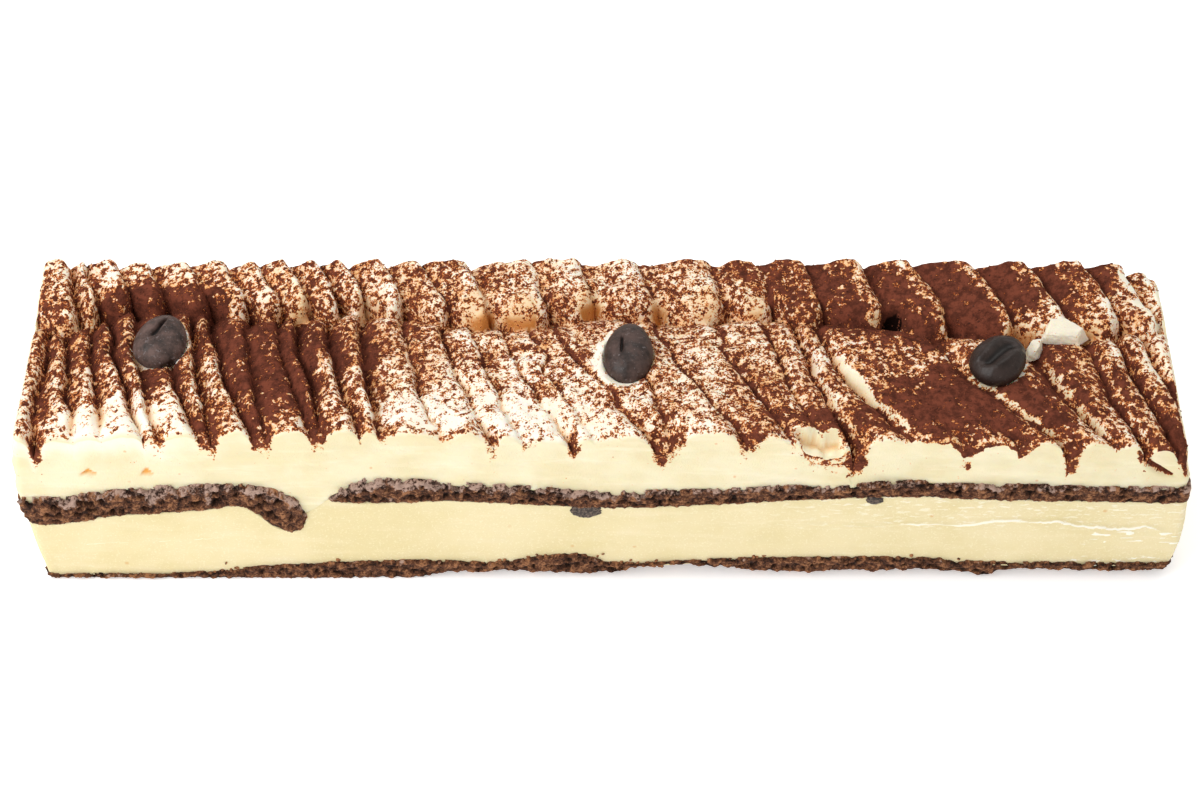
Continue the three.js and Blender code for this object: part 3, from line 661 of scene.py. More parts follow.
# Share of the surface under cocoa, and the level of the powder pattern above which it then lies.
COVER_LEVELS = [(0, 0.7), (0.03, 0.6), (0.1, 0.569), (0.25, 0.537), (0.45, 0.507), (0.55, 0.494), (0.75, 0.463),
                (0.9, 0.431), (0.97, 0.4), (1.0, 0.365), (1.1, 0.32)]
# Profiles across a stroke: rounded ridges to the left, soft ones in the middle, flat films with a
# raised left side to the right, arches at the front face, and back strokes that crest to the right.
RIDGE_PROFILE = [(0, 0), (0.08, 0.2), (0.25, 0.55), (0.5, 0.84), (0.7, 1), (0.84, 0.95), (0.93, 0.66), (1, 0)]
SOFT_PROFILE = [(0, 0), (0.06, 0.4), (0.2, 0.62), (0.5, 0.76), (0.8, 1), (0.92, 0.82), (1, 0)]
FILM_PROFILE = [(0, 0), (0.08, 0.3), (0.22, 0.78), (0.34, 1), (0.6, 0.95), (0.85, 0.7), (1, 0)]
ARCH_PROFILE = [(0, 0), (0.07, 0.32), (0.17, 0.58), (0.4, 0.9), (0.62, 1), (0.8, 0.84), (0.93, 0.45), (1, 0)]
BACK_PROFILE = [(0, 0), (0.1, 0.25), (0.35, 0.6), (0.6, 0.86), (0.78, 1), (0.9, 0.82), (1, 0)]
# Left sides of front strokes that the cocoa missed: x of the groove at the front, cover lost, width.
BARE_SIDES = [(75, 0.45, 0.3), (93, 0.94, 0.26), (140, 0.75, 0.2), (153, 0.85, 0.25), (162, 0.6, 0.28)]
# A bean is its middle, turn and pitch in degrees, size, and the ring of cream round it that the
# cocoa missed: shift in x and y, and width as a share of the bean.
BEANS = {
    "coffee_bean_left": {"at": (-135.4, 2.2, 62.8), "turn": 78, "pitch": 4, "size": (20.5, 16, 11),
                         "bare_ring": (0, -0.3, 0.03)},
    "coffee_bean_middle": {"at": (7.5, -3, 62.8), "turn": 85, "pitch": 8, "size": (22.5, 15, 11),
                           "bare_ring": (-2.2, -0.8, 0.12)},
    "coffee_bean_right": {"at": (120, -5.2, 62.4), "turn": 55, "pitch": 4, "size": (20, 16.4, 10.5),
                          "bare_ring": (0.6, 0.4, -0.04)},
}
# Cocoa patches are x, y, reach in x, reach in y, cover; bare lobe ends likewise; smears on the
# front face are x, z, reach in x, reach in z, cover.
COCOA_PATCHES = [
    (-150, 36, 32, 6, 0.4), (-170, 8, 10, 14, 0.62), (-150, 2, 14, 14, 0.84), (-135, 22, 22, 7, 1.0),
    (-135, -8, 12, 10, 0.9), (-104, 6, 26, 13, 0.97), (-101, -15, 14, 15, 1.0), (-92, -26, 8, 6, 0.92),
    (-76, -2, 8, 8, 0.9), (-152, -15, 12, 8, 0.55), (-114, -28, 8, 7, 0.58), (-130, -28, 10, 8, 0.38),
    (-148, -33, 17, 10, 0.07), (-128, -38, 11, 4, 0.15), (-167, -21, 7, 7, 0.6),
    (-78, -24, 8, 9, 0.5), (-60, 6, 10, 10, 0.6), (-60, -12, 10, 8, 0.44), (-60, -28, 10, 9, 0.18),
    (-42, -18, 9, 12, 0.22), (-50, -31, 16, 8, 0.1), (-20, -30, 26, 11, 0.09), (-24, -6, 9, 7, 0.28),
    (-6, -14, 10, 9, 0.3), (13, -24, 8, 9, 0.32), (30, -23, 10, 9, 0.34), (20, -35, 14, 5, 0.2), (30, -6, 9, 8, 0.38),
    (48, -18, 9, 13, 0.62), (52, 4, 10, 8, 0.46), (-39, 7, 7, 6, 0.3),
    (66, -12, 9, 8, 0.62), (66, -29.5, 15, 5.5, 1.0), (84, -5, 12, 10, 0.66), (86, -26, 12, 7, 0.92),
    (104, -20, 16, 15, 1.0), (122, -14, 15, 13, 1.04), (140, -14, 13, 11, 1.0), (140, 4, 10, 6, 0.88),
    (133, -25, 12, 8, 1.0), (112, -31, 12, 6, 0.95), (118, 14, 10, 6, 1.0), (98, 6, 8, 6, 0.92),
    (155, -16, 9, 12, 0.93), (142, -5, 8, 9, 0.87), (157, 10, 9, 10, 0.5), (172, 6, 8, 20, 0.26),
    (173, -18, 7, 8, 0.74), (172, -33, 8, 7, 0.9),
    (80, 14, 18, 7, 0.95), (75, 30, 22, 12, 0.88), (106, 26, 20, 15, 1.0), (130, 28, 18, 12, 1.0),
    (152, 32, 9, 8, 0.85), (0, 35, 22, 5, 0.38), (31, 36, 10, 5, 0.62), (47, 35, 10, 7, 0.85)]
BARE_LOBES = [
    (-94, 19, 4, 5, 0.75), (-73, 22, 4, 5, 0.65), (-39, 18, 6, 7, 1.0), (-25.5, 16.5, 6.5, 7, 1.0),
    (-4.5, 20, 5, 6, 1.0), (17.5, 20, 3.5, 5, 0.9), (31.5, 20.5, 5, 6, 0.95), (46.5, 20.5, 3.5, 4, 0.85),
    (84, 15, 3.5, 3, 0.6), (129, 10, 5, 4.5, 0.85), (148, 11, 5, 4, 0.85), (-160, 14, 5, 4, 0.5)]
# A pit that a bubble left in a back stroke, under cocoa, and painted black for the shade in it.
PIT = {"at": (89.5, 16.5), "reach": (3.4, 3.6), "depth": 7}
COCOA_SMEARS = [
    (17.5, 55, 1.8, 4.2, 0.95), (75, 53, 3.2, 5, 1.0), (43, 61, 2.4, 2.6, 0.95), (-8, 60, 1.3, 3, 0.8),
    (140, 53, 2.0, 4.6, 1.0), (109, 51, 1.0, 1.6, 1.1), (-102, 62, 2.5, 2.2, 0.95), (-84, 63, 2.1, 1.8, 0.95),
    (-118, 61.5, 1.3, 2.5, 0.8), (-169.5, 57, 1.1, 4, 0.9),
    (177, 52, 1.6, 5, 1.0), (161, 57, 1.2, 3.4, 0.95), (66.5, 57, 8, 1.3, 0.75)]
# How far the film of cocoa hangs over the front edge: x, depth below the edge.
COCOA_DROOP = [
    (92, -1.5), (97, 0.6), (103, 1.2), (108, 2.9), (113, 1.6), (119, 0.7), (124, 2.2), (128, 0.4), (132, -1.5)]
# Small pockets in the front face, painted ochre for the shade inside them, are x, z, width, height; the slit bends
# between two points.
POCKETS = [(-154.5, 49, 6.2, 3.0), (-137, 49.2, 5.6, 3.2)]
POCKET_DEPTH = 0.9
FRONT_SLIT = {"from": (163.4, 55.5), "bend": (165, 49.4), "to": (172.6, 47)}
SLIT_DEPTH = 1.8


def jitter(i, k):
    """Fixed random-looking value from -1 to 1 for stroke i and use k."""
    s = np.sin(12.9898 * i + 78.233 * k + STROKE_SEED) * 43758.5453
    return 2 * (s - np.floor(s)) - 1


def stroke_at(x, lines):
    """Number of the stroke that x lies in, and how far across it, from the groove lines there."""
    stroke = np.clip((x[None] >= lines).sum(axis=0) - 1, 0, len(lines) - 2)
    low = np.take_along_axis(lines, stroke[None], axis=0)[0]
    high = np.take_along_axis(lines, stroke[None] + 1, axis=0)[0]
    return stroke, np.clip((x - low) / (high - low), 0, 1)


def front_row(x, y):
    """Front strokes: height, how their shape changes the cocoa cover, and the broken ledge."""
    edge, head, notch = FRONT_GROOVES.T
    start = line_at(LOBE_LINE, x) + HEAD_UNDER
    v = np.clip((start - y) / (start - FRONT_REACH), 0, 1)
    lines = lerp(head[:, None], edge[:, None], v[None] ** 1.5)
    left = smoothstep(-45, -65, x)
    right = smoothstep(45, 62, x)
    soft = 1 - left - right
    sway = (0.9 + 0.9 * soft) * mottle(x, y, 9, 44) + 0.5 * mottle(x, y, 3, 45)
    stroke, u = stroke_at(x + sway * smoothstep(1, 0.8, v), lines)
    edge_x = lerp(edge[stroke], edge[stroke + 1], u)
    crest = lerp(HEAD_HEIGHT, line_at(FRONT_CREST, edge_x), smoothstep(-0.1, 1, v))
    drop = HEAD_DROP * np.clip(1 - v / 0.19, 0, None) ** 2
    share = line_at(GROOVE_SHARE, x) * (1 + (0.35 + 0.35 * soft) * patchy(v * 5, stroke * 3.7, 46))
    depths = []
    for groove in (stroke, stroke + 1):
        middle = np.where(np.isin(edge[groove], EDGE_ONLY), 0, GROOVE_DEPTH * (1 + 0.3 * jitter(groove, 2)) * share)
        depths.append(lerp(middle, notch[groove], smoothstep(0.78, 1, v)))
    profile = left * line_at(RIDGE_PROFILE, u) + soft * line_at(SOFT_PROFILE, u) + right * line_at(FILM_PROFILE, u)
    profile = lerp(profile, line_at(ARCH_PROFILE, u), smoothstep(0.7, 1, v))
    narrow = smoothstep(6, 3.8, (edge[1:] - edge[:-1])[stroke])
    profile = profile * (1 - 0.75 * narrow * smoothstep(0.8, 0.96, v))
    height = crest + LEVEL_JITTER * jitter(stroke, 1) - drop - lerp(depths[0], depths[1], u) * (1 - profile)
    # The ledge where the edge broke off, and the bare face over it.
    window = smoothstep(BROKEN_FROM - 2, BROKEN_FROM + 2, edge_x) * smoothstep(BROKEN_TO + 1, BROKEN_TO - 2, edge_x)
    broken = window * smoothstep(0.905, 0.93, v + 0.012 * mottle(x, y, 2.5, 30))
    height = height - broken * (BROKEN_DROP + 0.4 * mottle(x, y, 2.2, 29))
    broken_bare = window * smoothstep(0.893, 0.908, v + 0.012 * mottle(x, y, 2.5, 30))
    # Fine lines drawn by the knife, and lumps in the softer strokes of the middle.
    striae = 0.14 * patchy((x - lines[0]) / 0.9, v * 3 + stroke, 31) + 0.25 * patchy(edge_x / 2.2, v * 5, 32)
    lumps = soft * (0.6 * mottle(x, y, 5, 47) + 0.35 * mottle(x, y, 2.4, 39))
    # Cocoa gathers on the left sides and in the grooves, there partly as painted shade; it is thinner on the crests.
    in_groove = np.where(np.isin(edge[stroke], EDGE_ONLY), 0, smoothstep(0.05, 0.01, u)) + smoothstep(0.95, 0.99, u)
    on_crest = smoothstep(0.5, 0.68, u) * smoothstep(0.995, 0.93, u)
    cover = (left * (0.24 * smoothstep(0.5, 0.15, u) - 0.1 * on_crest)
             + soft * (0.3 * smoothstep(0.16, 0.03, u) * (0.6 + 0.6 * patchy(v * 7, stroke * 4.3, 68))
                       - 0.03 * on_crest)
             + in_groove * (0.45 + 0.4 * patchy(v * 6, stroke * 5.3, 67)))
    furrows = 0.3 * smoothstep(0.4, 0.12, u) + 0.3 * smoothstep(0.86, 0.96, u) - 0.22 * on_crest
    cover = cover + furrows * right * smoothstep(142, 156, edge_x)
    cover = cover + 0.5 * narrow * smoothstep(0.78, 0.92, v)
    for groove_x, lost, width in BARE_SIDES:
        across = u + 0.06 * mottle(x, y, 2, 28)
        side = smoothstep(0.01, 0.06, across) * smoothstep(width, 0.65 * width, across) * (edge[stroke] == groove_x)
        along = smoothstep(0.18, 0.45, v + 0.1 * mottle(x, y, 4, 57)) * smoothstep(0.96, 0.84, v)
        cover = cover - lost * side * along
    return height + (striae + lumps) * smoothstep(0, 0.2, v), cover, broken_bare


def back_row(x, y):
    """Back strokes, which end in lobes: height, and how their shape changes the cocoa cover."""
    share = (BACK_REACH - y) / (BACK_REACH - SLANT_END)
    slant = line_at(BACK_SLANT, BACK_GROOVES)
    lumpy = lerp(0.4, 1, smoothstep(-85, -50, x) * smoothstep(75, 50, x))
    sway = (0.6 + lumpy) * mottle(x, y, 8, 48) + 0.5 * mottle(x, y, 3, 49)
    stroke, u = stroke_at(x + sway, BACK_GROOVES[:, None] + slant[:, None] * share[None])
    edge_x = lerp(BACK_GROOVES[stroke], BACK_GROOVES[stroke + 1], u)
    end = line_at(LOBE_LINE, edge_x + line_at(BACK_SLANT, edge_x))
    end = end + lerp(LOBE_JITTER * jitter(stroke, 4), LOBE_CURVE, (2 * u - 1) ** 2)
    # A stroke ends in a lobe, rounded seen from above and from the side.
    w = (BACK_REACH - y) / (BACK_REACH - end)
    q = np.clip((w - 0.7) / 0.3, 0, 1)
    lobe = LOBE_HEIGHT * (1 - np.sqrt(1 - q * q)) + 3 * np.clip(end - y, 0, None)
    depth = BACK_DEPTH * (1 + 0.25 * lerp(jitter(stroke, 6), jitter(stroke + 1, 6), u))
    depth = depth * line_at(BACK_SHARE, x)
    depth = depth * (1 + 0.5 * lumpy * patchy(w * 4, stroke * 3.1, 56))
    height = BACK_CREST + LEVEL_JITTER * jitter(stroke, 7) - lobe - depth * (1 - line_at(BACK_PROFILE, u))
    height = height + lumpy * (0.9 * mottle(x, y, 6, 54) + 0.45 * mottle(x, y, 2.6, 55))
    height = height + 0.5 * patchy(edge_x / 5, w * 3, 27) + 0.8 * smoothstep(0.3, 0, w) * patchy(x / 3, y / 4, 53)
    height = height - BACK_SAG * smoothstep(156, 172, x) * smoothstep(8, 30, y)
    striae = 0.14 * patchy(edge_x / 0.9, w * 3 + stroke, 33) + 0.25 * patchy(edge_x / 2.2, w * 4, 34)
    on_crest = smoothstep(0.6, 0.74, u + 0.06 * mottle(x, y, 3, 50)) * smoothstep(1.0, 0.93, u)
    # More cover in the grooves, partly cocoa and partly painted shade of the creases.
    in_groove = smoothstep(0.06, 0.01, u) + smoothstep(0.95, 0.99, u)
    lost = lerp(0.12, 0.36, smoothstep(55, 85, x))
    cover = 0.22 * in_groove + 0.1 * smoothstep(0.5, 0.2, u) - lost * on_crest
    return height + striae, cover, smoothstep(0.84, 1.02, w)


def spot_reach(x, y, middle_x, middle_y, reach_x, reach_y):
    """Distance from a spot's middle, 1 at its reach."""
    return np.hypot((x - middle_x) / reach_x, (y - middle_y) / reach_y)


def bean_reach(bean, x, y):
    """Distance from a bean's middle, 1 on its outline seen from above."""
    turn = math.radians(bean["turn"])
    dx, dy = x - bean["at"][0], y - bean["at"][1]
    along = dx * math.cos(turn) + dy * math.sin(turn)
    across = dy * math.cos(turn) - dx * math.sin(turn)
    return np.hypot(along / (bean["size"][0] / 2), across / (bean["size"][1] / 2))


def cream_surface(x, y):
    """Height of the finished cream, cocoa cover, painted shade at lobe ends and pit, and the bare broken ledge."""
    front, front_cover, broken = front_row(x, y)
    back, back_cover, low = back_row(x, y)
    blend = np.clip(0.5 + (back - front) / 1.2, 0, 1)
    height = lerp(front, back, blend) + 0.3 * blend * (1 - blend)
    height = height + 0.35 * mottle(x, y, 4.2, 35) + 0.18 * mottle(x, y, 1.7, 26)
    wobble = 0.3 * mottle(x, y, 7, 37) + 0.2 * mottle(x, y, 2.5, 38)
    cocoa = 0.48 + 0.08 * mottle(x, y, 14, 36)
    for *spot, amount in COCOA_PATCHES:
        cocoa = lerp(cocoa, amount, smoothstep(1.4, 0.6, spot_reach(x, y, *spot) + wobble))
    # The strokes show less through a full film of cocoa, and hardly on bare cream.
    evened = 1 - 0.75 * smoothstep(0.88, 0.98, cocoa) * smoothstep(60, 30, x)
    shaped = lerp(front_cover, back_cover, blend) * evened * smoothstep(0.05, 0.4, cocoa)
    cocoa = cocoa + shaped + 0.1 * mottle(x, y, 3.5, 41) + 0.12 * mottle(x, y, 1.9, 58)
    cocoa = cocoa + 0.07 * smoothstep(0.84, 1.0, cocoa) * smoothstep(55, 70, x)
    bare_side = 0.4 * smoothstep(0.25, 0.6, -front_cover) * (1 - blend) * smoothstep(55, 65, x)
    lobe_end = np.zeros_like(x)
    for *spot, amount in BARE_LOBES:
        bare = amount * smoothstep(1.25, 0.7, spot_reach(x, y, *spot) + 0.6 * wobble)
        lobe_end = np.maximum(lobe_end, bare * smoothstep(0.3, 0.7, blend))
    broken = broken * (1 - blend)
    cocoa = lerp(lerp(cocoa, 0.03 + 0.24 * (1 - low), lobe_end), 0.0, broken)
    pit = spot_reach(x, y, *PIT["at"], *PIT["reach"])
    height = height - PIT["depth"] * smoothstep(1.2, 0.5, pit)
    cocoa = np.maximum(cocoa, 1.1 * smoothstep(1.3, 1, pit))
    # Each bean is pressed in, with a low swelling and a bare ring round it.
    for bean in BEANS.values():
        reach = bean_reach(bean, x, y)
        ring_x, ring_y, ring_width = bean["bare_ring"]
        clear = bean_reach(bean, x - ring_x, y - ring_y) - ring_width + 0.09 * mottle(x, y, 1.8, 40)
        cocoa = cocoa * lerp(0.06, 1, smoothstep(0.98, 1.08, clear))
        height = np.minimum(height, bean["at"][2] - 1.2 + 7 * np.clip(reach - 1, 0, None))
        height = height + 0.35 * np.exp(-((reach - 1.09) / 0.06) ** 2)
        height = np.where(reach < 0.97, np.minimum(height, bean["at"][2] - 2.4), height)
    # Painted shade: warm under the bare lobe ends, more towards their foot, and black in the pit.
    hollow = np.maximum(lobe_end * (0.6 + 0.48 * low), 1.35 * smoothstep(1.15, 0.8, pit))
    return height, cocoa, hollow, np.maximum(broken, 2 * bare_side)


def cream_finish():
    """White cream, yellower on the cut, under sifted cocoa: dark where thick, grains where thin."""
    material, tree, shader, place = start_material("dusted_cream")
    shader.inputs["Subsurface Scale"].default_value = 0.003
    shader.inputs["Subsurface Radius"].default_value = (1.0, 0.6, 0.28)
    streak = speckle(tree, stretched(tree, place, (45.0, 45.0, 330.0)), 1.0, 4.0, 0.6)
    cloud = speckle(tree, place, 60.0, 4.0, 0.55)
    spread = mixed(tree, eased(tree, cloud, 0.35, 0.65), srgb(255, 244, 223), srgb(255, 249, 235))
    cut = mixed(tree, eased(tree, cloud, 0.35, 0.65), srgb(234, 222, 182), srgb(241, 232, 199))
    drawn = mixed(tree, eased(tree, streak, 0.5, 0.75, 0.0, 0.55), cut, srgb(250, 241, 215))
    cream = mixed(tree, mark_value(tree, "cut"), spread, drawn)
    # Painted shade: the cream turns warm ochre in hollows and at the lobe ends, and orange-brown where that shade is
    # deepest.
    painted_warm_shade = mixed(tree, mark_value(tree, "hollow"), cream, srgb(234, 178, 100))
    shaded = mixed(tree, eased(tree, mark_value(tree, "hollow"), 0.5, 0.75), painted_warm_shade, srgb(198, 128, 62))
    # The pockets in the front face are painted ochre for the shade inside them.
    painted_pocket_shade = mixed(tree, mark_value(tree, "pocket"), shaded, srgb(247, 178, 84))
    flecked = mixed(tree, flecks(tree, place, 330.0, 0.22, 0.08), painted_pocket_shade, srgb(226, 158, 86))
    clump = speckle(tree, place, 560.0, 3.0, 0.62)
    dust = speckle(tree, place, 1700.0, 3.0, 0.65)
    along = put(tree, "ShaderNodeSeparateXYZ", {0: place}).outputs[0]
    right_side, left_side = eased(tree, along, 0.045, 0.075), eased(tree, along, -0.06, -0.085)
    fine = maths(tree, "MULTIPLY_ADD", maths(tree, "ADD", right_side, left_side), -0.1, 0.45)
    powder = maths(tree, "MULTIPLY_ADD", fine, maths(tree, "SUBTRACT", dust, clump), clump)
    thickness = maths(tree, "SUBTRACT", powder, mark_value(tree, "level"))
    uneven = eased(tree, speckle(tree, place, 300.0, 3.0, 0.6), 0.35, 0.6, 0.3, 1.0)
    veil = maths(tree, "MULTIPLY", eased(tree, mark_value(tree, "cocoa"), 0.24, 0.7, 0.0, 0.9), uneven)
    veiled = mixed(tree, veil, flecked, srgb(246, 190, 128))
    pale = mixed(tree, eased(tree, thickness, -0.043, -0.021), veiled, srgb(255, 186, 114))
    tan = mixed(tree, eased(tree, thickness, -0.026, 0.0), pale, srgb(206, 108, 52))
    tone = speckle(tree, place, 350.0, 5.0, 0.75)
    brown = mixed(tree, eased(tree, tone, 0.38, 0.62), srgb(83, 44, 33), srgb(122, 66, 49))
    # Painted shade also darkens the cocoa a little in hollows, and turns it black in the pit and at the foot of the
    # lobes.
    deep = mixed(tree, eased(tree, mark_value(tree, "hollow"), 0.1, 0.5, 0.0, 0.1), brown, srgb(60, 34, 27))
    black = mixed(tree, eased(tree, mark_value(tree, "hollow"), 0.75, 0.95), deep, srgb(26, 12, 9))
    tree.links.new(mixed(tree, eased(tree, thickness, 0.0, 0.035), tan, black), shader.inputs["Base Color"])
    tree.links.new(eased(tree, thickness, -0.06, 0.06, 0.5, 0.95), shader.inputs["Roughness"])
    tree.links.new(eased(tree, thickness, -0.06, 0.02, 0.3, 0.05), shader.inputs["Specular IOR Level"])
    heaped = maths(tree, "MULTIPLY_ADD", dust, 0.5, eased(tree, thickness, -0.06, 0.1))
    tree.links.new(eased(tree, thickness, -0.05, 0.0, 0.25, 0.0), shader.inputs["Subsurface Weight"])
    roughen(tree, shader, heaped, 0.6, 0.0006)
    return material


def smoothed(values, reach):
    """Mean of a grid of values over the cells within reach."""
    padded = np.pad(values, reach, mode="edge")
    for axis in (0, 1):
        total = np.cumsum(padded, axis=axis)
        padded = (np.roll(total, -reach, axis) - np.roll(total, reach + 1, axis)) / (2 * reach + 1)
    return padded[reach:-reach, reach:-reach]


def crest_near(line):
    """Highest of the heights near each point of a line."""
    return np.max([np.roll(line, shift) for shift in range(-CREST_REACH, CREST_REACH + 1, 2)], axis=0)


s, t = np.meshgrid(np.linspace(0, 1, CREAM_COLUMNS + 1), np.linspace(-1, 1, CREAM_ROWS + 1), indexing="ij")
full_x = lerp(-half_length, half_length, s)
grid_y = t * half_depth(full_x)
from_edge = np.minimum(half_depth(full_x) - np.abs(grid_y), half_length - np.abs(full_x))
rounded = EDGE_ROUND - np.sqrt(EDGE_ROUND ** 2 - np.clip(EDGE_ROUND - from_edge, 0, EDGE_ROUND) ** 2)
# The ends lean, so the height and the place along the block are brought together in three rounds.
grid_z = np.full_like(full_x, CREAM_LEVEL)
for _ in range(3):
    grid_x = trimmed(full_x, grid_z)
    surface = cream_surface(grid_x.ravel(), grid_y.ravel())
    grid_z, grid_cocoa, grid_lobe_and_pit_shade, grid_ledge = (part.reshape(s.shape) for part in surface)
    grid_z = grid_z - rounded
front_line = grid_z[:, 0]
in_notch = smoothstep(2, 4, crest_near(front_line) - front_line)[:, None] * smoothstep(6, 2, grid_y + BLOCK_DEPTH / 2)
in_notch = in_notch * (1 - 0.6 * smoothstep(-80, -72, grid_x) * smoothstep(-11, -14, grid_x))
at_ledge = smoothstep(BROKEN_FROM - 3, BROKEN_FROM, grid_x) * smoothstep(BROKEN_TO + 2, BROKEN_TO, grid_x)
in_notch = in_notch * (1 - at_ledge)
# The lobe ends and the pit also take the yellower cut colour, as part of their painted shade.
grid_cut = np.maximum(smoothstep(0.9, 0.2, from_edge) * (1 - in_notch), np.maximum(grid_ledge, 0.6 * grid_lobe_and_pit_shade))
hanging = smoothstep(-0.6, 0.4, line_at(COCOA_DROOP, grid_x)) * (grid_y < 0)
trimmed_cocoa = grid_cocoa * np.maximum(smoothstep(0, 0.6, from_edge), hanging)
grid_cocoa = lerp(trimmed_cocoa, np.maximum(grid_cocoa, 0.85), in_notch * (1 - grid_ledge))
# Painted shade: cream lying below the mean of the cream around it is shaded warm, and so are the lobe ends and pit.
sunk = smoothstep(0.2, 1.6, smoothed(grid_z, PAINTED_SHADE_REACH) - grid_z) * smoothstep(0.5, 3, from_edge)
grid_hollow = np.maximum(0.55 * sunk, 0.75 * grid_lobe_and_pit_shade)
grid = np.arange(s.size).reshape(s.shape)
middle_row = CREAM_ROWS // 2
rim = np.concatenate([
    grid[0, middle_row:0:-1], grid[:-1, 0], grid[-1, :-1], grid[:0:-1, -1], grid[0, :middle_row:-1]])
cream_loop = outline(*block_ends, CREAM_COLUMNS, CREAM_ROWS)
rim_x, rim_y = cream_loop[:2]
rim_z = grid_z.ravel()[rim]
_, over, half = sponge_band(rim_x, rim_y)
cream_low = over - np.minimum(SHEET_LAP, 0.8 * half)
notch_depth = crest_near(rim_z) - rim_z
on_front = front_face(rim_y)
curve_t = np.linspace(0, 1, 24)[:, None]
slit_from, slit_bend, slit_to = (np.array(FRONT_SLIT[key]) for key in ("from", "bend", "to"))
slit_line = (1 - curve_t) ** 2 * slit_from + 2 * curve_t * (1 - curve_t) * slit_bend + curve_t ** 2 * slit_to
slit_width = 0.35 + 1.0 * np.sin(np.pi * curve_t[:, 0])
# Down the cut sides: cocoa smears, pockets and slit with painted shade, and ripples left by the knife.
wall_points, wall_cocoa, wall_pocket, wall_cut = [], [], [], []
whiter = 0.75 * smoothstep(-105, -135, rim_x) * on_front
for share in np.linspace(0, 1, CREAM_WALL_RINGS + 1)[1:] ** 1.15:
    z = lerp(rim_z, cream_low, share)
    below = rim_z - z
    cover = 0.8 * smoothstep(2, 5, notch_depth) * np.exp(-below / 1.4)
    ragged = 0.35 * mottle(rim_x, z, 1.6, 43)
    for *spot, amount in COCOA_SMEARS:
        patch = amount * smoothstep(1.3, 0.6, spot_reach(rim_x, z, *spot) + ragged)
        cover = np.maximum(cover, patch * on_front)
    droop = line_at(COCOA_DROOP, rim_x) + 2 * ragged
    cover = np.maximum(cover, 0.97 * smoothstep(droop + 0.5, droop - 0.4, below) * on_front)
    pocket = np.zeros_like(z)
    for px, pz, width, rise in POCKETS:
        up = (z - pz + rise / 2) / rise
        inside = np.minimum(np.minimum(up * rise, (1 - up) * width / 2 - np.abs(rim_x - px)) / 0.7, 1)
        pocket = np.maximum(pocket, np.clip(inside, 0, 1) * on_front)
    away = np.hypot(rim_x[:, None] - slit_line[:, 0], z[:, None] - slit_line[:, 1]) / slit_width
    slit = np.exp(-np.min(away, axis=1) ** 2) * on_front
    outward = smoothstep(0, 0.1, share) * knife_drag(rim_x, rim_y, z) - POCKET_DEPTH * pocket - SLIT_DEPTH * slit
    behind = (over - z) / np.maximum(over - cream_low, 0.5)
    outward = outward - SHEET_TUCK * smoothstep(0.2, 1.5, half) * smoothstep(0.72, 0.96, behind)
    ripples = 0.45 * patchy((rim_x + rim_y) / 16, z / 3, 65) + 0.16 * patchy((rim_x + rim_y) / 5, z / 1.5, 69)
    outward = outward + smoothstep(0, 0.3, share) * ripples
    wall_points.append(ring(cream_loop, z, outward))
    # The slit is painted with the darkest cocoa colour, which stands for the shade inside it.
    wall_cocoa.append(np.maximum(cover, 1.1 * smoothstep(0.35, 0.6, slit)))
    wall_pocket.append(pocket)
    wall_cut.append(1 - whiter * smoothstep(9, 1, below))
wall_points = np.array(wall_points)
wall_index = s.size + np.arange(wall_points.shape[0] * len(rim)).reshape(-1, len(rim))
quads = np.stack([grid[:-1, :-1], grid[1:, :-1], grid[1:, 1:], grid[:-1, 1:]], axis=-1).reshape(-1, 4).tolist()
sides = wall(np.vstack([rim[None], wall_index])[::-1])
seat = [face[::-1] for face in bridge(wall_index[-1])]
top_points = np.stack([grid_x, grid_y, grid_z], axis=-1).reshape(-1, 3)
no_wall = np.zeros(wall_index.size)
cocoa_cover = np.clip(np.concatenate([grid_cocoa.ravel(), np.array(wall_cocoa).ravel()]), 0, 1.1)
top_cream = make_piece(
    "dusted_top_cream", np.vstack([top_points, wall_points.reshape(-1, 3)]), quads + sides + seat,
    cocoa=cocoa_cover, level=np.interp(cocoa_cover, *np.array(COVER_LEVELS).T),
    cut=np.concatenate([grid_cut.ravel(), np.array(wall_cut).ravel()]),
    hollow=np.concatenate([grid_hollow.ravel(), no_wall]),
    pocket=np.concatenate([np.zeros(s.size), np.array(wall_pocket).ravel()]))
top_cream.data.set_sharp_from_angle(angle=math.radians(62))
cream_material = cream_finish()
top_cream.data.materials.append(cream_material)
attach(top_cream, "root")
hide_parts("top_cream")


# Cream chips: two broken pieces of bare cream that lie on the strokes beside the right bean,
# flat on top and angular where they broke.
# A chip is its corners seen from above, height of its foot, rise, and tilt of its top along x.
CREAM_CHIPS = [
    ([(135, 7.6), (136.6, 12.6), (142, 12.6), (149, 9.2), (146, 6.6), (140.5, 6.8)], 57, 4.7, 0.0),
    ([(129.8, 0.2), (129.4, 2.6), (131.4, 4.8), (134.6, 4.2), (133.6, 1.8), (132, 0)], 57, 3.9, 0.1),
]
CHIP_LEAN = 0.6
CHIP_CUTS = 5
CHIP_COVER_LEVEL, CHIP_CUT = 0.67, 0.2


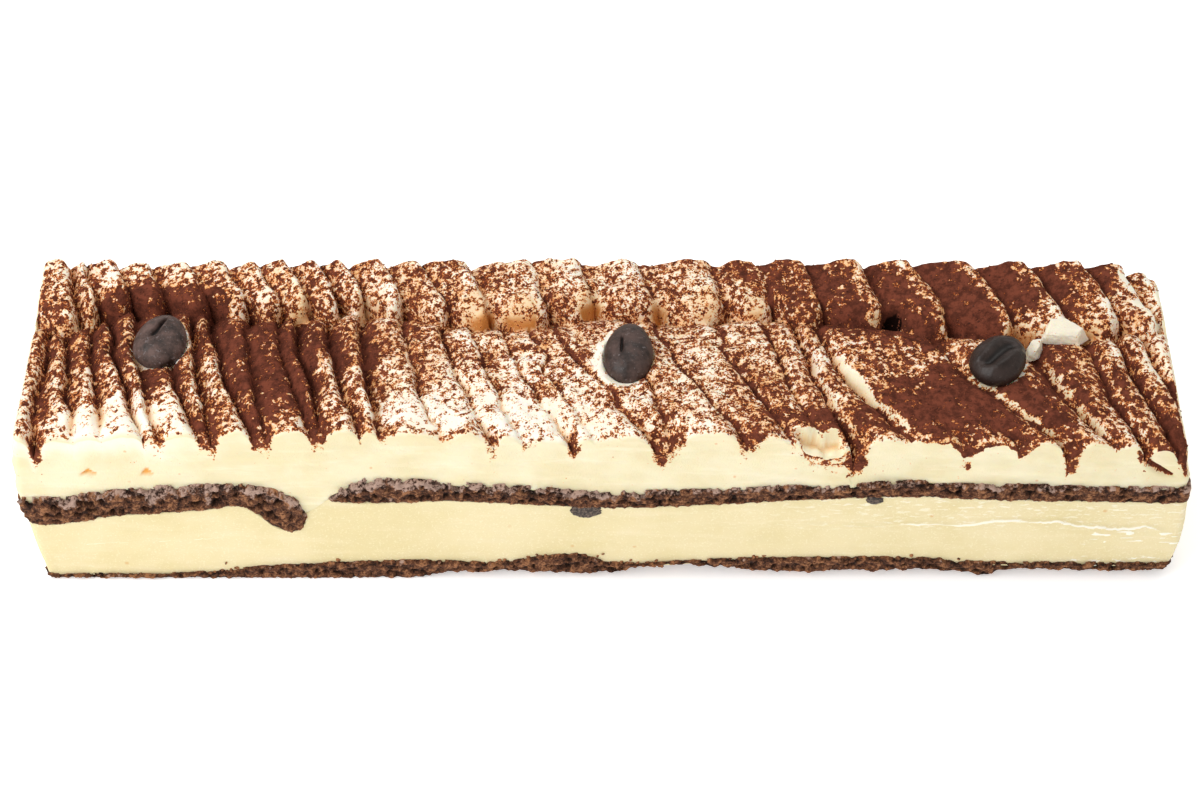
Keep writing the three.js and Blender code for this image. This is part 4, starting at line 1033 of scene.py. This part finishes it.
def chip_piece(name, chips):
    """Angular lumps with a crumbled skin, their tops leaning to the front."""
    shape = bmesh.new()
    for corners, foot, rise, tilt in chips:
        cx, cy = np.mean(corners, axis=0)
        points = []
        for i, (x, y) in enumerate(corners):
            waist = foot + 0.45 * rise + 0.5 * jitter(i, 11)
            top = foot + rise + tilt * (x - cx) + CHIP_LEAN * (y - cy) + 0.5 * jitter(i, 12)
            for inward, z in ((-0.1, foot), (0.04, waist), (0.22, top)):
                points.append((lerp(x, cx, inward), lerp(y, cy, inward), z))
        corners_up = [shape.verts.new(np.array(point) * MM) for point in points]
        hull = bmesh.ops.convex_hull(shape, input=corners_up)
        spare = [item for item in hull["geom_interior"] if isinstance(item, bmesh.types.BMVert)]
        bmesh.ops.delete(shape, geom=spare, context="VERTS")
    bmesh.ops.subdivide_edges(shape, edges=shape.edges[:], cuts=CHIP_CUTS, use_grid_fill=True)
    bmesh.ops.recalc_face_normals(shape, faces=shape.faces[:])
    shape.normal_update()
    spots = np.array([corner.co for corner in shape.verts]) / MM
    crumbled = 0.18 * patchy(spots[:, 0] / 1.5 + spots[:, 2], spots[:, 1] / 1.5, 63)
    crumbled = crumbled + 0.14 * patchy(spots[:, 0] / 0.6, spots[:, 1] / 0.6 + spots[:, 2], 64)
    for corner, out in zip(shape.verts, crumbled):
        corner.co += corner.normal * out * MM
    mesh = bpy.data.meshes.new(name)
    shape.to_mesh(mesh)
    shape.free()
    even = np.ones(len(mesh.vertices))
    mark_mesh(mesh, level=CHIP_COVER_LEVEL * even, cut=CHIP_CUT * even)
    mesh.set_sharp_from_angle(angle=math.radians(35))
    return add_object(name, mesh)


cream_chips = chip_piece("broken_cream_chips", CREAM_CHIPS)
cream_chips.data.materials.append(cream_material)
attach(cream_chips, "root")


# Coffee beans: three moulded dark chocolate beans, each with a bent slit along its upper side,
# pressed into the cream. The chocolate has a dull grey bloom, most of it on the left bean.
# A slit is its middle along and across the bean, half length, width, how much wider its far end
# is, depth, height of its lips, bend and slant; the bloom is a share.
SLITS = {
    "coffee_bean_left": ((2.4, 0.6, 4.6, 0.75, -0.6, 2.0, 0.15, 0.3, -0.36), 0.85),
    "coffee_bean_middle": ((0.6, 2.0, 3.6, 0.42, 0.0, 1.6, 0.1, 0.1, 0.0), 0.55),
    "coffee_bean_right": ((-0.3, -0.2, 6.8, 1.9, 0.15, 1.7, 0.5, 0.6, -0.34), 0.15),
}
BEAN_RINGS, BEAN_SIDES = 96, 160


def bean_piece(name, bean, slit_sizes, bloom):
    """A bean with its slit and lips, pitched and turned into place."""
    turn, pitch = math.radians(bean["turn"]), math.radians(bean["pitch"])
    size_x, size_y, size_z = (part / 2 for part in bean["size"])
    slit_x, slit_y, reach, width, taper, depth, lip, curl, slant = slit_sizes
    polar = np.linspace(0, np.pi, BEAN_RINGS + 1)[1:-1]
    angle = 2 * np.pi * np.arange(BEAN_SIDES) / BEAN_SIDES
    ux = -np.cos(polar)[:, None] + 0 * angle
    uy = np.sin(polar)[:, None] * np.cos(angle)
    uz = np.sin(polar)[:, None] * np.sin(angle)
    widen = 1 - 0.07 * ux
    x, y = ux * size_x, uy * widen * size_y
    z = uz * widen * size_z * np.where(uz > 0, 1, 0.86)
    t = np.clip((x - slit_x) / reach, -1.5, 1.5)
    bend = slit_y + curl * np.sin(2.2 * t) + slant * (x - slit_x)
    wide = width * np.clip(1 + taper * t, 0.25, None)
    window = smoothstep(1.1, 0.6, np.abs(t)) * smoothstep(0.1, 0.3, uz)
    slit = window * np.exp(-((y - bend) / wide) ** 2)
    lips = lip * window * np.exp(-((np.abs(y - bend) - 1.9 * wide - 0.4) / 1.3) ** 2)
    z = z + lips - depth * slit
    uneven = 1 + 0.014 * patchy(x / 3 + 9, y / 3 + size_x, 51) + 0.007 * patchy(x + 9, y + size_x, 52)
    tips = np.array([[-size_x, 0, 0], [size_x, 0, 0]])
    points = np.vstack([np.stack([x * uneven, y * uneven, z * uneven], axis=-1).reshape(-1, 3), tips])
    px = points[:, 0] * math.cos(pitch) - points[:, 2] * math.sin(pitch)
    pz = points[:, 0] * math.sin(pitch) + points[:, 2] * math.cos(pitch)
    placed = np.stack([px * math.cos(turn) - points[:, 1] * math.sin(turn),
                       px * math.sin(turn) + points[:, 1] * math.cos(turn), pz], axis=-1) + np.array(bean["at"])
    index = np.arange(x.size).reshape(x.shape)
    return make_piece(name, placed, wall(index) + tip_faces(index, x.size),
                      slit=np.append(slit.ravel(), [0, 0]), bloom=np.full(x.size + 2, bloom))


def bean_finish():
    """Dark chocolate with a patchy grey bloom and small pits, painted near black in the slit for its shade."""
    material, tree, shader, place = start_material("bean_chocolate", Coat_Weight=0.06)
    shader.inputs["Specular IOR Level"].default_value = 0.32
    shader.inputs["Coat Roughness"].default_value = 0.25
    patches = speckle(tree, place, 210.0, 5.0, 0.68)
    share = maths(tree, "MULTIPLY", eased(tree, patches, 0.3, 0.68), mark_value(tree, "bloom"))
    mottled = mixed(tree, share, srgb(31, 21, 17), srgb(110, 87, 81))
    spots = speckle(tree, place, 900.0, 3.0, 0.7)
    frosty = maths(tree, "MULTIPLY", eased(tree, spots, 0.58, 0.74), mark_value(tree, "bloom"))
    frosted = mixed(tree, maths(tree, "MULTIPLY", frosty, 0.6), mottled, srgb(160, 152, 154))
    # The slit is painted near black for the shade inside it.
    painted_slit_shade = eased(tree, mark_value(tree, "slit"), 0.35, 0.85)
    tree.links.new(mixed(tree, painted_slit_shade, frosted, srgb(20, 14, 12)), shader.inputs["Base Color"])
    tree.links.new(eased(tree, share, 0.0, 0.6, 0.38, 0.66), shader.inputs["Roughness"])
    roughen(tree, shader, spots, 0.3, 0.0003)
    return material


bean_material = bean_finish()
for node, bean in BEANS.items():
    slit_sizes, bloom = SLITS[node]
    piece = bean_piece("chocolate_" + node, bean, slit_sizes, bloom)
    piece.data.materials.append(bean_material)
    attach(piece, "root")
    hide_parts(node)


# Cocoa grains: the coarser lumps of the sifted cocoa, lying loose on the cream wherever the
# powder does.
GRAIN_SEED = 7
GRAIN_SIZES = ((0.5, 0.5, 0.4), (1.5, 1.5, 1.0))
FULL_TURN = (6.28, 6.28, 6.28)


def scattered(tree, surface, density, radius, sizes, seed):
    """Lumps of random size and turn on a surface, so many to the area."""
    spots = put(tree, "GeometryNodeDistributePointsOnFaces", {"Mesh": surface, "Density": density, "Seed": seed},
                distribute_method="RANDOM")
    lump = put(tree, "GeometryNodeMeshIcoSphere", {"Radius": radius, "Subdivisions": 1})
    size = put(tree, "FunctionNodeRandomValue", {"Min": sizes[0], "Max": sizes[1], "Seed": seed + 1},
               data_type="FLOAT_VECTOR")
    spin = put(tree, "FunctionNodeRandomValue", {"Max": FULL_TURN, "Seed": seed + 2}, data_type="FLOAT_VECTOR")
    return put(tree, "GeometryNodeInstanceOnPoints", {
        "Points": spots.outputs["Points"], "Instance": lump.outputs["Mesh"], "Rotation": spin.outputs[0],
        "Scale": size.outputs[0]}).outputs[0]


def grain_tree(material):
    """Lumps of powder scattered over the cream, more of them where its cocoa is thick."""
    tree, given, result = start_tree("cocoa_grains", Grains_Per_Area=130000.0, Grain_Radius=0.36 * MM)
    wanted = maths(tree, "MULTIPLY", eased(tree, read_mark(tree, "cocoa"), 0.1, 0.9), given["Grains_Per_Area"])
    grains = scattered(tree, given["Geometry"], wanted, given["Grain_Radius"], GRAIN_SIZES, GRAIN_SEED)
    end_tree(tree, grains, material, result)
    return tree


def grain_finish():
    """Dry reddish brown powder."""
    material, tree, shader, place = start_material("cocoa_powder", Roughness=0.95)
    tone = speckle(tree, place, 400.0, 3.0, 0.7)
    tree.links.new(mixed(tree, eased(tree, tone, 0.35, 0.65), srgb(78, 35, 22), srgb(128, 64, 38)),
                   shader.inputs["Base Color"])
    roughen(tree, shader, speckle(tree, place, 6000.0), 0.6, 0.0002)
    return material


cocoa_grains = add_object("loose_cocoa_grains", top_cream.data.copy())
apply_tree(cocoa_grains, grain_tree(grain_finish()))
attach(cocoa_grains, "root")


# Sponge crumbs: crumbs of the base sponge that the knife dragged up on to the mousse above it,
# where they stick to the cut face.
CRUMB_SEED = 3
CRUMB_SIZES = ((0.4, 0.4, 0.4), (1.5, 1.2, 1.3))


def loose_crumb_tree(material):
    """Crumbs scattered on the mousse close above the base sponge."""
    tree, given, result = start_tree("loose_crumbs", Crumbs_Per_Area=170000.0, Crumb_Radius=0.7 * MM)
    near = maths(tree, "POWER", read_mark(tree, "crumby"), 1.6)
    wanted = maths(tree, "MULTIPLY", near, given["Crumbs_Per_Area"])
    crumbs = scattered(tree, given["Geometry"], wanted, given["Crumb_Radius"], CRUMB_SIZES, CRUMB_SEED)
    whole = put(tree, "GeometryNodeRealizeInstances", {"Geometry": crumbs}).outputs[0]
    pale = put(tree, "FunctionNodeRandomValue", {2: 0.5, 3: 0.74, "Seed": CRUMB_SEED + 3}, data_type="FLOAT").outputs[1]
    end_tree(tree, store_mark(tree, whole, "crumb", pale), material, result)
    return tree


loose_crumbs = add_object("loose_sponge_crumbs", lower_mousse.data.copy())
apply_tree(loose_crumbs, loose_crumb_tree(sponge_material))
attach(loose_crumbs, "root")


# Studio: a plain white floor, broad soft lights and the camera that looks down on the front.
# The floor glows a little, so that it stays pale under the cake.
CAMERA_PLACE, CAMERA_TILT, CAMERA_LENS = (-1.15, -642.8, 714.6), 43.6, 90
LIGHT_TARGET = (0, 0, 0.03)
FLOOR_GLOW, SKY_STRENGTH = 0.42, 0.56
floor_mesh = bpy.data.meshes.new("floor")
floor_mesh.from_pydata([(-4, -3, 0), (4, -3, 0), (4, 6, 0), (-4, 6, 0)], [], [(0, 1, 2, 3)])
floor = add_object("floor", floor_mesh)
floor_material, _, floor_shader, _ = start_material("white_floor", Roughness=0.9)
floor_shader.inputs["Base Color"].default_value = (0.95, 0.95, 0.95, 1)
floor_shader.inputs["Emission Color"].default_value = (1, 1, 1, 1)
floor_shader.inputs["Emission Strength"].default_value = FLOOR_GLOW
floor_mesh.materials.append(floor_material)

world = bpy.data.worlds.new("studio")
world.use_nodes = True
sky = world.node_tree.nodes["Background"]
sky.inputs["Color"].default_value = (1, 0.97, 0.92, 1)
sky.inputs["Strength"].default_value = SKY_STRENGTH
bpy.context.scene.world = world
bpy.context.scene.view_settings.view_transform = "Standard"


def soft_light(name, place, size, power):
    """A round lamp turned to the middle of the cake."""
    light = bpy.data.lights.new(name, "AREA")
    light.shape = "DISK"
    light.size = size
    light.energy = power
    lamp = add_object(name, light)
    dx, dy, dz = (b - a for a, b in zip(place, LIGHT_TARGET))
    lamp.location = place
    lamp.rotation_euler = (math.atan2(math.hypot(dx, dy), -dz), 0, math.atan2(-dx, dy))


soft_light("key", (-0.62, -0.34, 0.8), 0.9, 6.9)
soft_light("fill", (0.25, 0.45, 1.2), 1.2, 4.0)

camera_data = bpy.data.cameras.new("camera")
camera_data.lens = CAMERA_LENS
camera_data.sensor_width = 36
camera_data.clip_start = 0.01
camera = add_object("camera", camera_data)
camera.location = [part * MM for part in CAMERA_PLACE]
camera.rotation_euler = (math.radians(CAMERA_TILT), 0, 0)
bpy.context.scene.camera = camera
